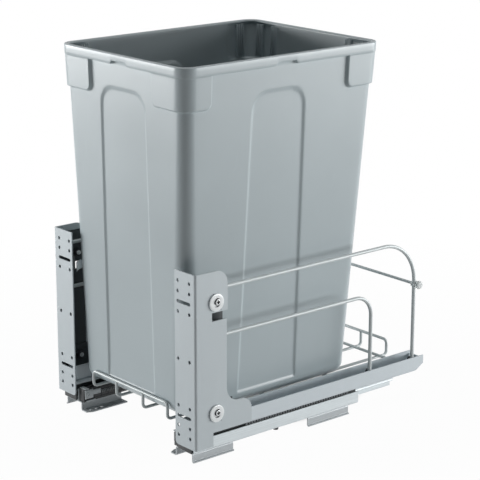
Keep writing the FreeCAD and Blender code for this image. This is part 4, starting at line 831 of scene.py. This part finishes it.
def soft_close_shell(side, sign):
    """The soft-close case's outside, on the slide's inner side."""
    case = Parts()
    in_, out_, low, high = CASE_IN, CASE_OUT, CASE_LOW, CASE_HIGH
    for corner, far_corner, radius in (
        # two cheeks and a floor
        ((in_, CASE_FRONT, low), (in_ + 1.5, CASE_REAR, high), 0.5),
        ((out_ - 1.5, CASE_FRONT, low), (out_, CASE_REAR, high), 0.5),
        ((in_ + 0.2, 6.2, low), (out_ - 0.2, 113.8, 14.0), 0.4),
        # a roof with the catch's slot
        ((in_ + 0.2, 6.2, 29.5), (101.6, 113.8, high), 0.4),
        ((106.0, 6.2, 29.5), (out_ - 0.2, 113.8, high), 0.4),
        ((in_ + 0.2, 6.2, 29.5), (out_ - 0.2, 20.0, high), 0.4),
        ((in_ + 0.2, 74.0, 29.5), (out_ - 0.2, 113.8, high), 0.4),
        # a nose and an end cap
        ((in_ + 0.2, 6.1, 12.7), (out_ - 0.2, 9.0, 30.8), 0.6),
        ((in_ + 0.2, 112.6, 12.7), (out_ - 0.2, 113.9, 30.8), 0.5),
        # two long ribs on the inner cheek
        ((98.0, 6.4, 27.0), (99.2, 113.6, 28.4), 0.4),
        ((98.0, 6.4, 15.0), (99.2, 113.6, 16.2), 0.4),
    ):
        case.block(*mirrored(corner, far_corner, sign), radius, 2)
    for count in range(8):
        rib = 24.0 + 11.5 * count
        case.block(*mirrored((98.0, rib, 15.6), (99.2, rib + 1.6, 27.6), sign), 0.35, 2)
    case.piece(f"soft_close_shell_{side}", "cabinet_side", "damper_case", (f"soft_close_case_{side}",))


def soft_close_lever(side, sign):
    """A grey latch lever on the case's nose, with its two pivots."""
    lever = Parts()
    for low, high, radius in (
        ((96.4, 7.0, 17.0), (98.0, 20.5, 29.5), 0.6),
        ((96.4, 19.0, 21.0), (97.6, 33.0, 28.0), 0.5),
        ((95.4, 6.6, 30.8), (108.6, 13.0, 31.8), 0.4),
        ((96.2, 9.0, 12.7), (98.2, 24.0, 15.0), 0.6),
    ):
        lever.block(*mirrored(low, high, sign), radius)
    hollow_pivot = [(0, 2.6), (0.3, 3.3), (1.6, 3.3), (2.0, 2.9), (2.0, 1.7), (1.2, 1.4), (1.15, 0.3)]
    lever.lathe(hollow_pivot, (sign * 97.2, 12.0, 23.5), (-sign, 0, 0), 32)
    small_pivot = [(0, 2.2), (0.9, 2.2), (1.2, 1.8), (1.2, 0.4)]
    lever.lathe(small_pivot, (sign * 97.2, 28.0, 24.5), (-sign, 0, 0), 28)
    lever.piece(f"soft_close_lever_{side}", "cabinet_side", "foot_zinc")


def soft_close_spring(side, sign):
    """The return spring beside the case."""
    coil = []
    for step in range(SPRING_TURNS * SPRING_STEPS + 1):
        turn = 2 * math.pi * step / SPRING_STEPS
        x, z = 96.9 + 1.15 * math.cos(turn), 23.0 + 2.1 * math.sin(turn)
        coil.append((sign * x, 34.0 + step * SPRING_RISE, z))
    spring = Parts()
    spring.tube(coil, 0.38, 8)
    spring.piece(f"soft_close_spring_{side}", "cabinet_side", "damper_tube")


for side, sign in SIDES.items():
    soft_close_shell(side, sign)
    soft_close_lever(side, sign)
    soft_close_spring(side, sign)


# ---------------------------------------------------------------------------------------------
# Floor, light and camera
# ---------------------------------------------------------------------------------------------

FLOOR_RADIUS, FLOOR_DROP, FLOOR_GREY = 14.0, 0.0002, 0.82
# share of plain white that the camera sees on the floor: at these distances from the unit (m)
WHITE_FADE = {"From Min": 0.3, "From Max": 0.9, "To Min": 0.97, "To Max": 1.0}
# and around an ellipse under the bin, as shares of its half axes
SHADE_SHIFT, SHADE_SCALE = (0, -0.32, 0), (9.0, 7.4, 0)
SHADE_EDGE = {"From Min": 0.8, "From Max": 1.12, "To Min": 0.1, "To Max": 1.0}


def math_node(tree, operation, first, second):
    node = tree.nodes.new("ShaderNodeMath")
    node.operation = operation
    tree.links.new(first, node.inputs[0])
    tree.links.new(second, node.inputs[1])
    return node.outputs[0]


def seen_directly(tree):
    """1 for what the camera sees, also in mirrors and through clear parts, and 0 for what lights."""
    path = tree.nodes.new("ShaderNodeLightPath")
    shown = path.outputs["Is Camera Ray"]
    for kind in ("Is Glossy Ray", "Is Transmission Ray"):
        shown = math_node(tree, "MAXIMUM", shown, path.outputs[kind])
    return shown


def length_ramp(tree, vector, limits):
    """A vector's length, mapped from one range to another."""
    length = tree.nodes.new("ShaderNodeVectorMath")
    length.operation = "LENGTH"
    span = tree.nodes.new("ShaderNodeMapRange")
    for socket, value in limits.items():
        span.inputs[socket].default_value = value
    tree.links.new(vector, length.inputs[0])
    tree.links.new(length.outputs["Value"], span.inputs["Value"])
    return span.outputs["Result"]


def floor_material():
    """White to the camera, with the floor's own shading and shadow only close to the unit."""
    material = bpy.data.materials.new("floor")
    material.use_nodes = True
    tree = material.node_tree
    tree.nodes.clear()
    lit = tree.nodes.new("ShaderNodeBsdfDiffuse")
    lit.inputs["Color"].default_value = (FLOOR_GREY, FLOOR_GREY, FLOOR_GREY, 1)
    white = tree.nodes.new("ShaderNodeEmission")
    white.inputs["Color"].default_value = (1, 1, 1, 1)
    white.inputs["Strength"].default_value = 1.0
    place = tree.nodes.new("ShaderNodeTexCoord").outputs["Object"]
    ellipse = tree.nodes.new("ShaderNodeMapping")
    ellipse.inputs["Location"].default_value = SHADE_SHIFT
    ellipse.inputs["Scale"].default_value = SHADE_SCALE
    tree.links.new(place, ellipse.inputs["Vector"])
    around = length_ramp(tree, ellipse.outputs["Vector"], SHADE_EDGE)
    share = math_node(tree, "MULTIPLY", around, length_ramp(tree, place, WHITE_FADE))
    share = math_node(tree, "MULTIPLY", seen_directly(tree), share)
    blend = tree.nodes.new("ShaderNodeMixShader")
    tree.links.new(share, blend.inputs[0])
    tree.links.new(lit.outputs[0], blend.inputs[1])
    tree.links.new(white.outputs[0], blend.inputs[2])
    out = tree.nodes.new("ShaderNodeOutputMaterial")
    tree.links.new(blend.outputs[0], out.inputs["Surface"])
    return material


def staged_floor():
    mesh = bmesh.new()
    bmesh.ops.create_circle(mesh, cap_ends=True, segments=96, radius=FLOOR_RADIUS)
    data = bpy.data.meshes.new("floor")
    mesh.to_mesh(data)
    mesh.free()
    data.materials.append(floor_material())
    floor = bpy.data.objects.new("floor", data)
    floor.location = (0, 0, -FLOOR_DROP)
    bpy.context.scene.collection.objects.link(floor)


def studio_world(strength):
    """White to the camera and in reflections, and a faint light of its own."""
    world = bpy.data.worlds.new("studio")
    bpy.context.scene.world = world
    world.use_nodes = True
    tree = world.node_tree
    tree.nodes.clear()
    lighting = tree.nodes.new("ShaderNodeBackground")
    lighting.inputs["Strength"].default_value = strength
    shown = tree.nodes.new("ShaderNodeBackground")
    shown.inputs["Strength"].default_value = 1.0
    blend = tree.nodes.new("ShaderNodeMixShader")
    tree.links.new(seen_directly(tree), blend.inputs[0])
    tree.links.new(lighting.outputs[0], blend.inputs[1])
    tree.links.new(shown.outputs[0], blend.inputs[2])
    out = tree.nodes.new("ShaderNodeOutputWorld")
    tree.links.new(blend.outputs[0], out.inputs["Surface"])


def area_lamp(name, width, tall, power):
    data = bpy.data.lights.new(name, "AREA")
    data.shape = "RECTANGLE"
    data.size, data.size_y = width, tall
    data.energy = power
    lamp = bpy.data.objects.new(name, data)
    bpy.context.scene.collection.objects.link(lamp)
    return lamp


def soft_box(name, bearing, distance, height, width, tall, power):
    """An upright soft box that faces the object's middle line from a bearing in plan."""
    heading = Vector((*bearing, 0)).normalized()
    lamp = area_lamp(name, width, tall, power)
    lamp.location = heading * distance + Vector((0, 0, height))
    lamp.rotation_euler = heading.to_track_quat("Z", "Y").to_euler()


def ceiling_box(name, height, size, power):
    area_lamp(name, size, size, power).location = (0, 0, height)


staged_floor()
studio_world(0.01)
soft_box("key_left", (-0.75, -0.66), 3.0, 0.42, 2.0, 0.84, 68)
soft_box("rim_right", (0.62, 0.78), 3.0, 0.3, 2.4, 0.6, 61)
soft_box("rim_high", (0.62, 0.78), 3.0, 1.0, 2.4, 0.6, 14)
ceiling_box("overhead", 3.0, 2.4, 30)

# solved from the photograph: place in metres, angles in degrees, lens in mm on a 36 mm sensor
CAMERA_PLACE = (1.76333, -1.49273, 0.86807)
CAMERA_AZIMUTH, CAMERA_TILT, CAMERA_ROLL = 49.826, 15.527, 0.041
CAMERA_LENS, SENSOR_WIDTH = 133.73, 36.0
camera_data = bpy.data.cameras.new("camera")
camera_data.sensor_width = SENSOR_WIDTH
camera_data.lens = CAMERA_LENS
camera = bpy.data.objects.new("camera", camera_data)
facing = Euler((math.radians(90 - CAMERA_TILT), 0, math.radians(CAMERA_AZIMUTH))).to_matrix()
facing = facing @ Matrix.Rotation(math.radians(CAMERA_ROLL), 3, "Z")
camera.matrix_world = Matrix.Translation(CAMERA_PLACE) @ facing.to_4x4()
bpy.context.scene.collection.objects.link(camera)
bpy.context.scene.camera = camera
bpy.context.scene.view_settings.view_transform = "Standard"

bpy.context.view_layer.update()
